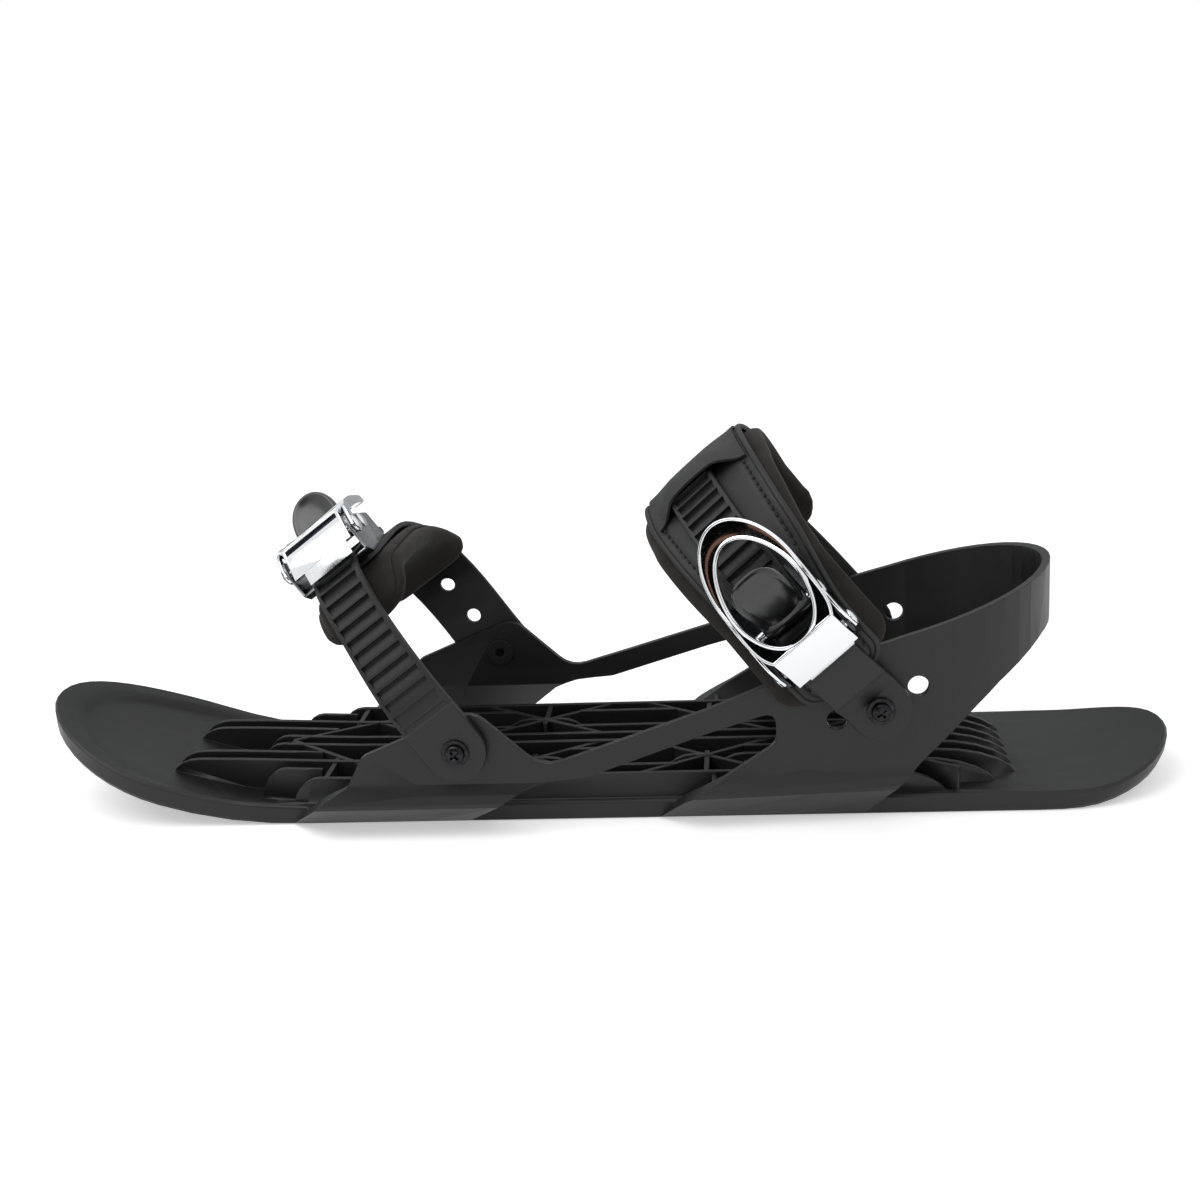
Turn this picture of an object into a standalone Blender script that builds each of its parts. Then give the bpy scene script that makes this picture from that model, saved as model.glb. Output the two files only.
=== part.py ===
# Mini ski: a short moulded ski with a toe strap and an ankle strap, each closed by a ratchet buckle.
# Frame: +X runs from tip to tail, the buckles are on the -Y side, +Z is up.
# The origin lies at mid length on the running surface.
# Every size below is in millimetres and every angle in degrees.
from math import asin, cos, hypot, pi, radians, sin, sqrt

import bmesh
import bpy
from mathutils import Matrix, Vector

MM = 0.001
GAP = 0.3

# Deck outline and thickness
DECK_HALF = 46.1
TIP_CENTRE = -162.7
TIP_RADIUS = 50.7
TIP_HALF = 47.8
TAIL_START = 173.4
TAIL_RUN = 44.9
TAIL_POWER = 2.1
TIP_LIFT_START = -108.8
TIP_LIFT_RADIUS = 168.0
TAIL_LIFT_START = 180.0
TAIL_LIFT_RADIUS = 70.0
RIM_HEIGHT = 7.4
TIP_RIM = 9.0
TAIL_RIM = 8.1
DISH_DEPTH = 2.8
TIP_BEVEL = 2.4
TAIL_BEVEL = 5.0
SIDE_BEVEL = 1.0

# Ribs on the deck
RIB_PITCH = 9.2
RIB_THICK = 2.2
RIB_TOP = 16.4
BRACE_TOP = 16.15
BRACE_NODES = (-91.0, -22.0, 44.0, 111.0)
BRACE_REACH = 25.0
OUTER_RIB = 41.4

# Side walls and heel loop
WALL_HALF = 62.5
WALL_THICK = 3.0
WALL_TAPER_START = -5.0
LOOP_CENTRE = 119.0
LOOP_HALF = 51.5
LOOP_RUN = 55.0
FLARE_BULGE = 2.0
FOLD_HEIGHT = 21.0

# Strap pivots, as X and Z
TOE_PIVOT = (-44.5, 34.3)
ANKLE_PIVOT = (106.8, 43.5)
SPARE_HOLES = ((91.6, 39.3), (120.5, 50.4))
HOLE_RADIUS = 3.8
SPARE_RADIUS = 3.0
TOE_LEAN = 36.0
ANKLE_LEAN = 41.0

# Straps
LADDER_HALF = 11.2
LADDER_END_HALF = 9.8
LADDER_THICK = 2.8
LADDER_RAIL = 2.0
TOOTH_PITCH = 5.2
TOOTH_DEPTH = 1.5
FAR_STRAP_HALF = 14.0
STEP_LINE = 15.0

# How much further the ankle cover and liner reach towards the heel, near the crest
COVER_REAR = 4.0
LINER_REAR = 3.4

# Buckle, in its own plane: t runs along the strap from the lever pin, m outwards, n across
FRAME_HALF = 15.2
FRAME_SHEET = 1.0
FRAME_LENGTH = 30.0
FRAME_DEPTH = 12.0
PLATE_HALF = 13.25
RING_HALF = 16.5
RING_HOLE_HALF = 13.8
RING_START = 3.7
RING_END = 56.0
LEVER_THICK = 2.2
LEVER_FOLD = (1.5, 8.3)
PIN_RADIUS = 1.5
TAB_PIN = (15.0, -1.0)
TAB_HALF = 10.0
TAB_LENGTH = 25.4
TAB_LIFT = 50.0
# Place of each lever pin as y and h, then the turn, the shift along n, the skew and how far the lever stands off
TOE_BUCKLE = (-34.0, 84.6, 0.0, 0.0, -4.0, 3.0)
ANKLE_BUCKLE = (-73.7, 36.8, 72.0, 1.0, 0.0, 0.0)


def clearScene():
    for old in list(bpy.data.objects):
        bpy.data.objects.remove(old, do_unlink=True)


def makeCollection(name):
    group = bpy.data.collections.new(name)
    bpy.context.scene.collection.children.link(group)
    return group


clearScene()
PARTS = makeCollection("mini_ski")
CUTTERS = makeCollection("cutters")


def makeMaterial(name, colour, roughness, metallic):
    material = bpy.data.materials.new(name)
    material.use_nodes = True
    shader = material.node_tree.nodes["Principled BSDF"]
    shader.inputs["Base Color"].default_value = (*colour, 1.0)
    shader.inputs["Roughness"].default_value = roughness
    shader.inputs["Metallic"].default_value = metallic
    return material


def bodyPlastic(name):
    return makeMaterial(name, (0.025, 0.025, 0.025), 0.5, 0.0)


def strapPlastic(name):
    return makeMaterial(name, (0.028, 0.028, 0.028), 0.55, 0.0)


def foamRubber(name):
    return makeMaterial(name, (0.016, 0.014, 0.012), 0.9, 0.0)


def coverLeather(name):
    return makeMaterial(name, (0.035, 0.035, 0.035), 0.6, 0.0)


def chromePlate(name):
    return makeMaterial(name, (0.85, 0.85, 0.86), 0.06, 1.0)


def zincSteel(name):
    return makeMaterial(name, (0.45, 0.45, 0.46), 0.3, 1.0)


def blackSteel(name):
    return makeMaterial(name, (0.02, 0.02, 0.02), 0.35, 1.0)


def glossPlastic(name):
    return makeMaterial(name, (0.012, 0.012, 0.012), 0.25, 0.0)


def addObject(name, mesh, group, material=None):
    item = bpy.data.objects.new(name, mesh)
    group.objects.link(item)
    if material:
        mesh.materials.append(material)
    if group is CUTTERS:
        item.hide_render = True
        item.display_type = "WIRE"
    return item


def meshFromRings(name, rings, capped=True, closed=False):
    """Skin a row of rings, each the same count of points, into one closed body."""
    net = bmesh.new()
    rows = [[net.verts.new(point) for point in ring] for ring in rings]
    count = len(rows[0])
    pairs = list(zip(rows, rows[1:]))
    if closed:
        pairs.append((rows[-1], rows[0]))
    for low, high in pairs:
        for i in range(count):
            j = (i + 1) % count
            net.faces.new((low[i], low[j], high[j], high[i]))
    if capped and not closed:
        net.faces.new(list(reversed(rows[0])))
        net.faces.new(rows[-1])
    bmesh.ops.remove_doubles(net, verts=net.verts, dist=1e-7)
    bmesh.ops.recalc_face_normals(net, faces=net.faces)
    mesh = bpy.data.meshes.new(name)
    net.to_mesh(mesh)
    net.free()
    return mesh


def shadeSmooth(item, angle=30.0):
    item.data.shade_smooth()
    item.data.set_sharp_from_angle(angle=radians(angle))
    return item


def lift(x):
    """Height of the running surface: flat in the middle, raised at the tip and the tail."""
    if x < TIP_LIFT_START:
        return (x - TIP_LIFT_START) ** 2 / (2 * TIP_LIFT_RADIUS)
    if x > TAIL_LIFT_START:
        return (x - TAIL_LIFT_START) ** 2 / (2 * TAIL_LIFT_RADIUS)
    return 0.0


def blend(x, x0, x1, a, b):
    f = min(max((x - x0) / (x1 - x0), 0.0), 1.0)
    f = f * f * (3 - 2 * f)
    return a + (b - a) * f


def roundedOutline(corners, steps=4):
    """Turn (x, y, radius) corners into points, with each radius drawn as an arc."""
    points = []
    count = len(corners)
    for i, (x, y, radius) in enumerate(corners):
        here = Vector((x, y))
        if radius <= 0:
            points.append(here)
            continue
        back = Vector(corners[i - 1][:2]) - here
        ahead = Vector(corners[(i + 1) % count][:2]) - here
        half = back.angle(ahead) / 2
        if half > pi / 2 - 0.02:
            points.append(here)
            continue
        run = min(radius / max(abs(sin(half) / cos(half)), 1e-6), 0.45 * back.length, 0.45 * ahead.length)
        start = here + back.normalized() * run
        end = here + ahead.normalized() * run
        for k in range(steps + 1):
            f = k / steps
            points.append(start * (1 - f) ** 2 + here * (2 * f * (1 - f)) + end * f * f)
    return points


def prism(name, outline, axis, low, high, group, material=None):
    """Extrude a closed outline. Axis "y" takes (x, z) points, "z" takes (x, y) points."""
    rings = []
    for value in (low, high):
        if axis == "y":
            rings.append([Vector((p[0], value, p[1])) * MM for p in outline])
        else:
            rings.append([Vector((p[0], p[1], value)) * MM for p in outline])
    return addObject(name, meshFromRings(name, rings), group, material)


def cylinderY(name, x, z, radius, low, high, group, sides=24):
    outline = [(x + radius * cos(2 * pi * k / sides), z + radius * sin(2 * pi * k / sides)) for k in range(sides)]
    return prism(name, outline, "y", low, high, group)


def addBoolean(item, other, operation):
    modifier = item.modifiers.new(operation.lower(), "BOOLEAN")
    modifier.operation = operation
    modifier.solver = "EXACT"
    if isinstance(other, bpy.types.Collection):
        modifier.operand_type = "COLLECTION"
        modifier.collection = other
    else:
        modifier.object = other
    return modifier


def bakeModifiers(item):
    """Replace the object's mesh with what its modifiers make of it."""
    graph = bpy.context.evaluated_depsgraph_get()
    result = bpy.data.meshes.new_from_object(item.evaluated_get(graph))
    item.modifiers.clear()
    item.data = result
    return item


def cutterGroup(name):
    group = bpy.data.collections.new(name)
    CUTTERS.children.link(group)
    return group


def hideCutter(item):
    item.hide_render = True
    item.display_type = "WIRE"
    return item


# Deck


def deckHalfOutline():
    """Half of the rim outline, from the tip round to the tail, with the outward normals."""
    points = []
    for k in range(13):
        angle = radians(90 * k / 12)
        points.append(Vector((TIP_CENTRE - TIP_RADIUS * cos(angle), TIP_HALF * sin(angle))))
    for x in (-150, -135, -120, -106, -92, -60, -20, 20, 60, 100, 125, 150, 165):
        points.append(Vector((x, blend(x, TIP_CENTRE, TIP_LIFT_START, TIP_HALF, DECK_HALF))))
    for k in range(12):
        angle = radians(90 * k / 11)
        power = 2 / TAIL_POWER
        points.append(Vector((TAIL_START + TAIL_RUN * sin(angle) ** power, DECK_HALF * max(cos(angle), 0.0) ** power)))
    points[-1].y = 0.0
    normals = []
    for i, point in enumerate(points):
        before = points[i - 1] if i > 0 else Vector((point.x, -points[1].y))
        after = points[i + 1] if i + 1 < len(points) else Vector((point.x, -points[-2].y))
        if i == 0:
            before = Vector((points[1].x, -points[1].y))
        if i + 1 == len(points):
            after = Vector((points[-2].x, -points[-2].y))
        along = (after - before).normalized()
        normals.append(Vector((-along.y, along.x)))
    return points, normals


def makeDeck():
    outline, normals = deckHalfOutline()

    def bevelAt(x):
        if x < 0:
            return blend(x, -175, -105, TIP_BEVEL, SIDE_BEVEL)
        return blend(x, 165, 205, SIDE_BEVEL, TAIL_BEVEL)

    def rimAt(x):
        if x < 0:
            return blend(x, -175, -105, TIP_RIM, RIM_HEIGHT)
        return blend(x, 165, 205, RIM_HEIGHT, TAIL_RIM)

    def lipAt(x):
        if x < 0:
            return blend(x, -205, -130, 8.0, 3.6)
        return 3.6

    def floorAt(x):
        return rimAt(x) - blend(x, 95, 150, DISH_DEPTH, 0.1)

    levels = (
        lambda x: (bevelAt(x), 0.0),
        lambda x: (0.36 * bevelAt(x), 0.32 * bevelAt(x)),
        lambda x: (0.08 * bevelAt(x), 0.84 * bevelAt(x)),
        lambda x: (0.0, rimAt(x) - 1.2),
        lambda x: (0.9, rimAt(x)),
        lambda x: (lipAt(x), rimAt(x)),
        lambda x: (lipAt(x) + 2.2, floorAt(x)),
    )
    net = bmesh.new()
    rows = []
    for level in levels:
        row = []
        for side in (-1, 1):
            half = []
            for point, normal in zip(outline, normals):
                inset, height = level(point.x)
                x = point.x - inset * normal.x
                y = max(point.y - inset * normal.y, 0.0)
                half.append((x, side * y, height + lift(x)))
            row.append(half)
        loop = row[0] + list(reversed(row[1]))[1:-1]
        rows.append([net.verts.new(Vector(p) * MM) for p in loop])
    count = len(rows[0])
    last = len(outline) - 1
    for low, high in zip(rows, rows[1:]):
        for i in range(count):
            j = (i + 1) % count
            net.faces.new((low[i], low[j], high[j], high[i]))
    for row in (rows[0], rows[-1]):
        for i in range(last):
            corners = [row[i], row[i + 1], row[(count - i - 1) % count], row[(count - i) % count]]
            unique = list(dict.fromkeys(corners))
            if len(unique) > 2:
                net.faces.new(unique)
    bmesh.ops.recalc_face_normals(net, faces=net.faces)
    mesh = bpy.data.meshes.new("ski_body")
    net.to_mesh(mesh)
    net.free()
    return addObject("ski_body", mesh, PARTS, bodyPlastic("ski_body_plastic"))


def ribTop(x, top=RIB_TOP):
    """Rib tops are level, then follow part of the tip's rise."""
    return top + blend(x, -80, -155, 0.0, 2.4)


def longRib(name, y, x0, x1, frontRun, rearRun, group, bottom=2.6, top=RIB_TOP):
    """One lengthwise rib with a quarter round at each end."""
    upper = []
    steps = 6
    floor = lift(x0) + bottom
    if frontRun > 0:
        for k in range(steps + 1):
            angle = radians(90 * k / steps)
            x = x0 + frontRun * (1 - cos(angle))
            upper.append((x, floor + (ribTop(x, top) - floor) * sin(angle)))
    else:
        upper.append((x0, ribTop(x0, top)))
    first = upper[-1][0]
    final = x1 - rearRun
    for x in (-148, -138, -128, -118, -108, -95, -80):
        if first + 2 < x < final - 2:
            upper.append((x, ribTop(x, top)))
    if rearRun > 0:
        floor = lift(x1) + bottom
        for k in range(steps + 1):
            angle = radians(90 * (1 - k / steps))
            x = x1 - rearRun * (1 - cos(angle))
            upper.append((x, floor + (ribTop(x, top) - floor) * sin(angle)))
    else:
        upper.append((x1, ribTop(x1, top)))
    lower = [(x, lift(x) + bottom) for x in (-104, -112, -122, -132, -142, -152) if x0 + 2 < x < x1 - 2]
    if rearRun <= 0:
        lower.insert(0, (x1, lift(x1) + bottom))
    if frontRun <= 0:
        lower.append((x0, lift(x0) + bottom))
    prism(name, upper + lower, "y", y - RIB_THICK / 2, y + RIB_THICK / 2, group)


def brace(name, start, end, group, top, bottom, thick=1.9):
    """A straight brace between two plan points."""
    a = Vector(start)
    b = Vector(end)
    side = Vector((a.y - b.y, b.x - a.x)).normalized() * thick / 2
    rings = []
    for end2 in (a, b):
        floor = bottom + lift(end2.x)
        roof = ribTop(end2.x, top)
        ring = []
        for sign, z in ((-1, floor), (1, floor), (1, roof), (-1, roof)):
            corner = end2 + side * sign
            ring.append(Vector((corner.x, corner.y, z)) * MM)
        rings.append(ring)
    addObject(name, meshFromRings(name, rings), group)


def makeRibs(group):
    inner, middle, third, fourth = (RIB_PITCH * (0.5 + k) for k in range(4))
    outer = OUTER_RIB
    for side, tag in ((-1, "near"), (1, "far")):
        longRib("rib_outer_" + tag, side * outer, -112, 133.6, 11, 30, group)
        longRib("rib_inner_" + tag, side * inner, -134, 161, 10, 31, group)
        longRib("rib_front_middle_" + tag, side * middle, -163.5, -106, 10.5, 0, group)
        longRib("rib_front_third_" + tag, side * third, -163.5, -60, 10.5, 14, group)
        longRib("rib_front_fourth_" + tag, side * fourth, -126, -102, 10, 0, group)
        longRib("rib_rear_middle_" + tag, side * middle, 58, 161, 0, 31, group)
        longRib("rib_rear_third_" + tag, side * third, 44, 161, 14, 31, group)
        longRib("rib_rear_fourth_" + tag, side * fourth, 58, 152.5, 0, 30.5, group)
        for start, stop in ((-78, -35), (-9, 31)):
            longRib("rib_gap_middle_%s_%d" % (tag, start), side * middle, start, stop, 0, 0, group)
            longRib("rib_gap_fourth_%s_%d" % (tag, start), side * fourth, start, stop, 0, 0, group)
        longRib("rib_stub_%s" % tag, side * third, -42, -2.5, 14, 14, group)
        longRib("rib_stub_rear_%s" % tag, side * third, 25, 46, 14, 0, group)
        for k, x in enumerate(BRACE_NODES):
            y = side * (third + 0.5)
            low = (x - BRACE_REACH, side * (outer - 0.2))
            high = (x + BRACE_REACH, side * inner)
            centre = (x, y)
            if k == 0:
                brace("brace_%s_a%d" % (tag, k), (x, y), (x - 30, side * 0.3), group, BRACE_TOP, 3.0)
                brace("brace_%s_b%d" % (tag, k), centre, high, group, BRACE_TOP - 0.1, 3.1)
                brace("brace_%s_c%d" % (tag, k), centre, (x + BRACE_REACH, side * (outer - 0.2)), group, BRACE_TOP - 0.2, 3.2)
                brace("brace_%s_d%d" % (tag, k), (-99, side * 17.0), (-99, side * outer), group, BRACE_TOP - 0.3, 3.3)
            else:
                brace("brace_%s_a%d" % (tag, k), low, high, group, BRACE_TOP, 3.0)
                low2 = (x - BRACE_REACH, side * inner)
                high2 = (x + BRACE_REACH, side * (outer - 0.2))
                brace("brace_%s_b%d" % (tag, k), low2, high2, group, BRACE_TOP - 0.12, 3.15)
                brace("brace_%s_d%d" % (tag, k), (x, side * 18.0), (x, side * outer), group, BRACE_TOP - 0.24, 3.3)


def wallPath():
    """Plan path of the outer wall face, near front to far front, with outward normals."""
    half = []
    for x in (-116, -96, -60, WALL_TAPER_START, 40, 80):
        half.append((x, WALL_HALF - max(x - WALL_TAPER_START, 0) * (WALL_HALF - LOOP_HALF) / (LOOP_CENTRE - WALL_TAPER_START)))
    for k in range(13):
        angle = radians(90 * k / 12)
        half.append((LOOP_CENTRE + LOOP_RUN * sin(angle), LOOP_HALF * cos(angle)))
    half[-1] = (half[-1][0], 0.0)
    near = [Vector((x, -y)) for x, y in half]
    far = [Vector((x, y)) for x, y in reversed(half[:-1])]
    points = near + far
    normals = []
    for i in range(len(points)):
        before = points[max(i - 1, 0)]
        after = points[min(i + 1, len(points) - 1)]
        along = (after - before).normalized()
        normals.append(Vector((along.y, -along.x)))
    return points, normals


def sideOutline():
    """Side view of everything that stands outside the deck: wings, struts and heel loop."""
    return roundedOutline((
        (-114.0, -2.0, 0), (-96.0, 14.2, 0), (-85.6, 20.6, 3), (-79.6, 32.0, 6), (-38.6, 48.9, 10),
        (-14.5, 26.6, 12), (7.0, 33.2, 0), (45.5, 45.4, 0), (66.7, 53.4, 12), (86.0, 60.1, 8),
        (179.0, 87.0, 0), (179.0, 64.5, 0), (168.0, 60.6, 10), (150.3, 48.6, 0), (140.5, 40.2, 0),
        (124.5, 24.7, 0), (108.3, 7.9, 0), (99.0, -2.0, 0), (24.0, -2.0, 0), (36.3, 10.4, 0),
        (45.2, 16.0, 0), (69.8, 31.4, 6), (69.8, 43.6, 4), (44.1, 36.2, 0), (3.0, 22.8, 10),
        (-12.4, 21.2, 12), (-21.5, 18.3, 0), (-30.3, 12.8, 0), (-47.0, -2.0, 0)))


def makeWalls(group):
    points, normals = wallPath()
    rings = []
    for point, normal in zip(points, normals):
        wall = abs(point.y) if point.x <= LOOP_CENTRE else LOOP_HALF
        base = DECK_HALF - wall
        section = (
            (base - 1.6, 0.7), (base + 0.4, 0.7), (FLARE_BULGE - 0.4, 12.2), (FLARE_BULGE, 13.8),
            (FLARE_BULGE - 0.5, 17.2), (0.0, FOLD_HEIGHT), (0.0, 95.0), (-WALL_THICK, 95.0),
            (-WALL_THICK, FOLD_HEIGHT - 1.5), (base + 1.4, 8.0), (base - 1.6, 6.6))
        ring = []
        for offset, z in section:
            place = point + normal * offset
            ring.append(Vector((place.x, place.y, z)) * MM)
        rings.append(ring)
    walls = addObject("wall_loft", meshFromRings("wall_loft", rings), CUTTERS)
    mask = prism("wall_outline", sideOutline(), "y", -90, 90, CUTTERS)
    addBoolean(walls, mask, "INTERSECT")
    bakeModifiers(walls)
    CUTTERS.objects.unlink(walls)
    group.objects.link(walls)
    for side in (-1, 1):
        web = [(41.0, 4.9), (45.5, 5.1), (52.0, 12.2), (52.6, 15.9), (41.0, 15.9)]
        rings = [[Vector((x, side * y, z)) * MM for y, z in web] for x in (46.2, 47.8)]
        addObject("flare_web_%d" % side, meshFromRings("flare_web", rings), group)
    return walls


def makeSkiBody():
    body = makeDeck()
    joined = cutterGroup("body_joined")
    makeRibs(joined)
    makeWalls(joined)
    holes = cutterGroup("body_holes")
    for x, z in (TOE_PIVOT, ANKLE_PIVOT) + SPARE_HOLES:
        cylinderY("hole_%d" % x, x, z, HOLE_RADIUS, -90, 90, holes, 20)
    for item in list(joined.objects) + list(holes.objects):
        hideCutter(item)
    addBoolean(body, joined, "UNION")
    addBoolean(body, holes, "DIFFERENCE")
    bakeModifiers(body)
    return shadeSmooth(body, 35)


# Straps and pads follow an arch in a plane that leans forward about its pivot


class Arch:
    """A smooth line in the leaning plane: y across the ski, h up the plane from the pivot."""

    def __init__(self, pivot, lean, points, fine=8):
        self.pivot = Vector((pivot[0], 0.0, pivot[1]))
        self.up = Vector((-sin(radians(lean)), 0.0, cos(radians(lean))))
        self.across = Vector((cos(radians(lean)), 0.0, sin(radians(lean))))
        knots = [Vector(p) for p in points]
        line = []
        for i in range(len(knots) - 1):
            a = knots[max(i - 1, 0)]
            b, c = knots[i], knots[i + 1]
            d = knots[min(i + 2, len(knots) - 1)]
            for k in range(fine):
                f = k / fine
                line.append(0.5 * ((2 * b) + (c - a) * f + (2 * a - 5 * b + 4 * c - d) * f * f
                                   + (3 * b - a - 3 * c + d) * f ** 3))
        line.append(knots[-1])
        self.line = line
        self.marks = [0.0]
        for a, b in zip(line, line[1:]):
            self.marks.append(self.marks[-1] + (b - a).length)
        self.length = self.marks[-1]

    def at(self, s):
        """Place, direction and outward normal at distance s along the line."""
        s = min(max(s, 0.0), self.length)
        i = 0
        while i < len(self.marks) - 2 and self.marks[i + 1] < s:
            i += 1
        span = self.marks[i + 1] - self.marks[i]
        f = (s - self.marks[i]) / span
        place = self.line[i].lerp(self.line[i + 1], f)
        before = self.line[max(i - 1, 0)]
        after = self.line[min(i + 2, len(self.line) - 1)]
        along = (after - before).normalized()
        return place, along, Vector((-along.y, along.x))

    def world(self, y, h, n):
        return (self.pivot + Vector((0.0, y, 0.0)) + self.up * h + self.across * n) * MM

    def point(self, s, m, n):
        place, along, out = self.at(s)
        spot = place + out * m
        return self.world(spot.x, spot.y, n)

    def nearest(self, y, h):
        """Distance along the line of the point nearest to (y, h)."""
        target = Vector((y, h))
        best = min(range(len(self.line)), key=lambda i: (self.line[i] - target).length)
        return self.marks[best]


def archSolid(name, arch, sections, material, group=None):
    """Skin sections, each (s, [(n, m), ...]), along an arch."""
    rings = [[arch.point(s, m, n) for n, m in outline] for s, outline in sections]
    item = addObject(name, meshFromRings(name, rings), group or PARTS, material)
    return shadeSmooth(item, 35)


def quarter(s, run):
    """Rise of a quarter round: 0 at s = 0, 1 from s = run on."""
    return 1.0 if s >= run else sqrt(1 - ((run - s) / run) ** 2)


def endSpaced(length, run, middle):
    """Distances along a strip, closer together at its two rounded ends."""
    near = [run * (1 - cos(radians(90 * k / 6))) for k in range(6)]
    inner = [run + (length - 2 * run) * k / middle for k in range(middle + 1)]
    return near + inner + [length - s for s in reversed(near)]


def flatSection(half, low, high, corner=0.4, shift=0.0):
    corner = min(corner, (high - low) * 0.3, half * 0.3)
    outline = [(-half + corner, low), (half - corner, low), (half, low + corner), (half, high - corner),
               (half - corner, high), (-half + corner, high), (-half, high - corner), (-half, low + corner)]
    return [(n + shift, m) for n, m in outline]


def ladderSection(half, low, high, groove):
    rail = max(half - LADDER_RAIL, 0.6 * half)
    slope = 0.05 + 0.8 * abs(high - groove)
    return [(-half, low), (half, low), (half, high), (rail, high), (rail - slope, groove),
            (-rail + slope, groove), (-rail, high), (-half, high)]


def roundEnd(s, radius, half):
    """Half width near a round end, at distance s from the end."""
    if s >= radius:
        return half
    return max(sqrt(max(radius ** 2 - (radius - s) ** 2, 0.0)) * half / radius, 0.15 * half)


def makeLadder(name, arch, plain, material, rootThick):
    """A strap with a smooth root round the pivot, then teeth up to a rounded free end."""
    root = LADDER_HALF
    end = arch.length
    sections = []
    toothStart = root + STEP_LINE + plain

    def halfAt(s):
        return blend(s, root + STEP_LINE, 75.0, LADDER_HALF, LADDER_END_HALF)

    for s in (0.0, 0.8, 2.2, 4.4, 7.2, root, 16.0, root + STEP_LINE - 2.0, root + STEP_LINE):
        half = roundEnd(s, root, LADDER_HALF)
        sections.append((s, ladderSection(half, 0.0, rootThick, rootThick)))
    for s in (root + STEP_LINE + 0.5, 0.5 * (root + STEP_LINE + toothStart)):
        sections.append((s, ladderSection(halfAt(s), 0.0, LADDER_THICK, LADDER_THICK)))
    count = int((end - 6.0 - toothStart) / TOOTH_PITCH)
    low = LADDER_THICK - TOOTH_DEPTH
    for k in range(count):
        s = toothStart + k * TOOTH_PITCH
        for offset, groove in ((0.0, low), (0.8, LADDER_THICK), (2.0, LADDER_THICK)):
            sections.append((s + offset, ladderSection(halfAt(s + offset), 0.0, LADDER_THICK, groove)))
    for back in (4.6, 2.4, 0.9, 0.0):
        half = max(roundEnd(back, 5.0, LADDER_END_HALF), 5.0)
        sections.append((end - back, ladderSection(half, 0.0, LADDER_THICK, LADDER_THICK)))
    return archSolid(name, arch, sections, material)


def cutHoleY(item, pivot, radius, low, high):
    cutter = cylinderY(item.name + "_hole", pivot[0], pivot[1], radius, low, high, CUTTERS, 20)
    addBoolean(item, cutter, "DIFFERENCE")
    bakeModifiers(item)
    return shadeSmooth(item, 35)


TOE_LADDER_LINE = (
    (-62.8, -11), (-62.8, 0), (-62.8, 10), (-62.9, 20), (-61.6, 29), (-58.2, 40), (-53.2, 52), (-47.8, 62.5),
    (-42.8, 70.0), (-38.8, 73.2), (-34.5, 74.1), (-29, 74.1), (-15, 74.1), (-4, 74.1), (6, 73.6), (14, 72.6))
TOE_FAR_LINE = (
    (62.8, -14), (62.8, 0), (63.0, 10), (64.2, 22), (64.0, 33), (61, 44), (54, 54.5), (43, 62.5),
    (29, 68.0), (14, 70.1), (0, 70.3), (-18, 70.3), (-31, 70.3))
TOE_PAD_LINE = (
    (-46, 51.5), (-44.5, 56), (-41.2, 61.2), (-36.3, 65.8), (-29, 69.0), (-18, 69.6), (0, 69.4), (13.8, 68.6),
    (27.8, 66.0), (39.5, 61.2), (49, 54.6), (54.0, 49.6), (56.6, 45.6))
ANKLE_LADDER_LINE = (
    (-53.9, -11), (-53.9, 0), (-54.0, 6), (-57.4, 10.8), (-61.6, 15.8), (-64.2, 22), (-64.9, 28.5),
    (-64.1, 31.6), (-59.8, 45), (-54.7, 60.7), (-47.6, 74.5), (-36.6, 86.8), (-22.3, 96.9), (-10.5, 101.4))
ANKLE_COVER_LINE = (
    (-60.6, 16.5), (-62.1, 20.5), (-63.1, 25.5), (-62.9, 30.3), (-58.2, 45), (-53.1, 60.7), (-46.4, 74), (-36, 85.9),
    (-22, 96.2), (-5, 101.6), (8, 101.2), (22, 96.2), (34, 86.6), (42.6, 74.2), (47.6, 61.5), (50.2, 49.5))


def makeToeStrap():
    ladder = Arch(TOE_PIVOT, TOE_LEAN, TOE_LADDER_LINE)
    item = makeLadder("toe_ladder_strap", ladder, 2.5, strapPlastic("toe_ladder_plastic"), 3.6)
    cutHoleY(item, TOE_PIVOT, HOLE_RADIUS, -80, -40)
    far = Arch(TOE_PIVOT, TOE_LEAN, TOE_FAR_LINE)
    sections = []
    for s in (0.0, 1.0, 2.8, 6.0, 10.0, 14.0):
        sections.append((s, flatSection(roundEnd(s, FAR_STRAP_HALF, FAR_STRAP_HALF), -2.2, 0.0)))
    steps = 20
    for k in range(1, steps + 1):
        s = 14.0 + (far.length - 16.0) * k / steps
        sections.append((s, flatSection(FAR_STRAP_HALF, -2.2, 0.0)))
    sections.append((far.length, flatSection(FAR_STRAP_HALF - 3, -2.2, 0.0)))
    item = archSolid("toe_far_strap", far, sections, strapPlastic("toe_far_strap_plastic"))
    cutHoleY(item, TOE_PIVOT, HOLE_RADIUS, 40, 80)
    for h in (18.8, 36.1):
        x = TOE_PIVOT[0] - sin(radians(TOE_LEAN)) * h
        z = TOE_PIVOT[1] + cos(radians(TOE_LEAN)) * h
        cutHoleY(item, (x, z), SPARE_RADIUS, 40, 80)


def padOutline(half, thick, seam):
    """Half of a pad's section: a thin top layer, a seam groove, then a fat foam roll."""
    right = [(0.45 * half, -0.1), (0.78 * half, -0.5), (0.87 * half, -1.6), (0.87 * half, -2.6 * seam),
             (0.84 * half, -3.2 * seam), (0.95 * half, -4.2 * seam), (half, -0.68 * thick),
             (0.97 * half, -0.9 * thick), (0.86 * half, -thick), (0.45 * half, -0.98 * thick)]
    left = [(-n, m) for n, m in reversed(right)]
    return right + left


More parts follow.
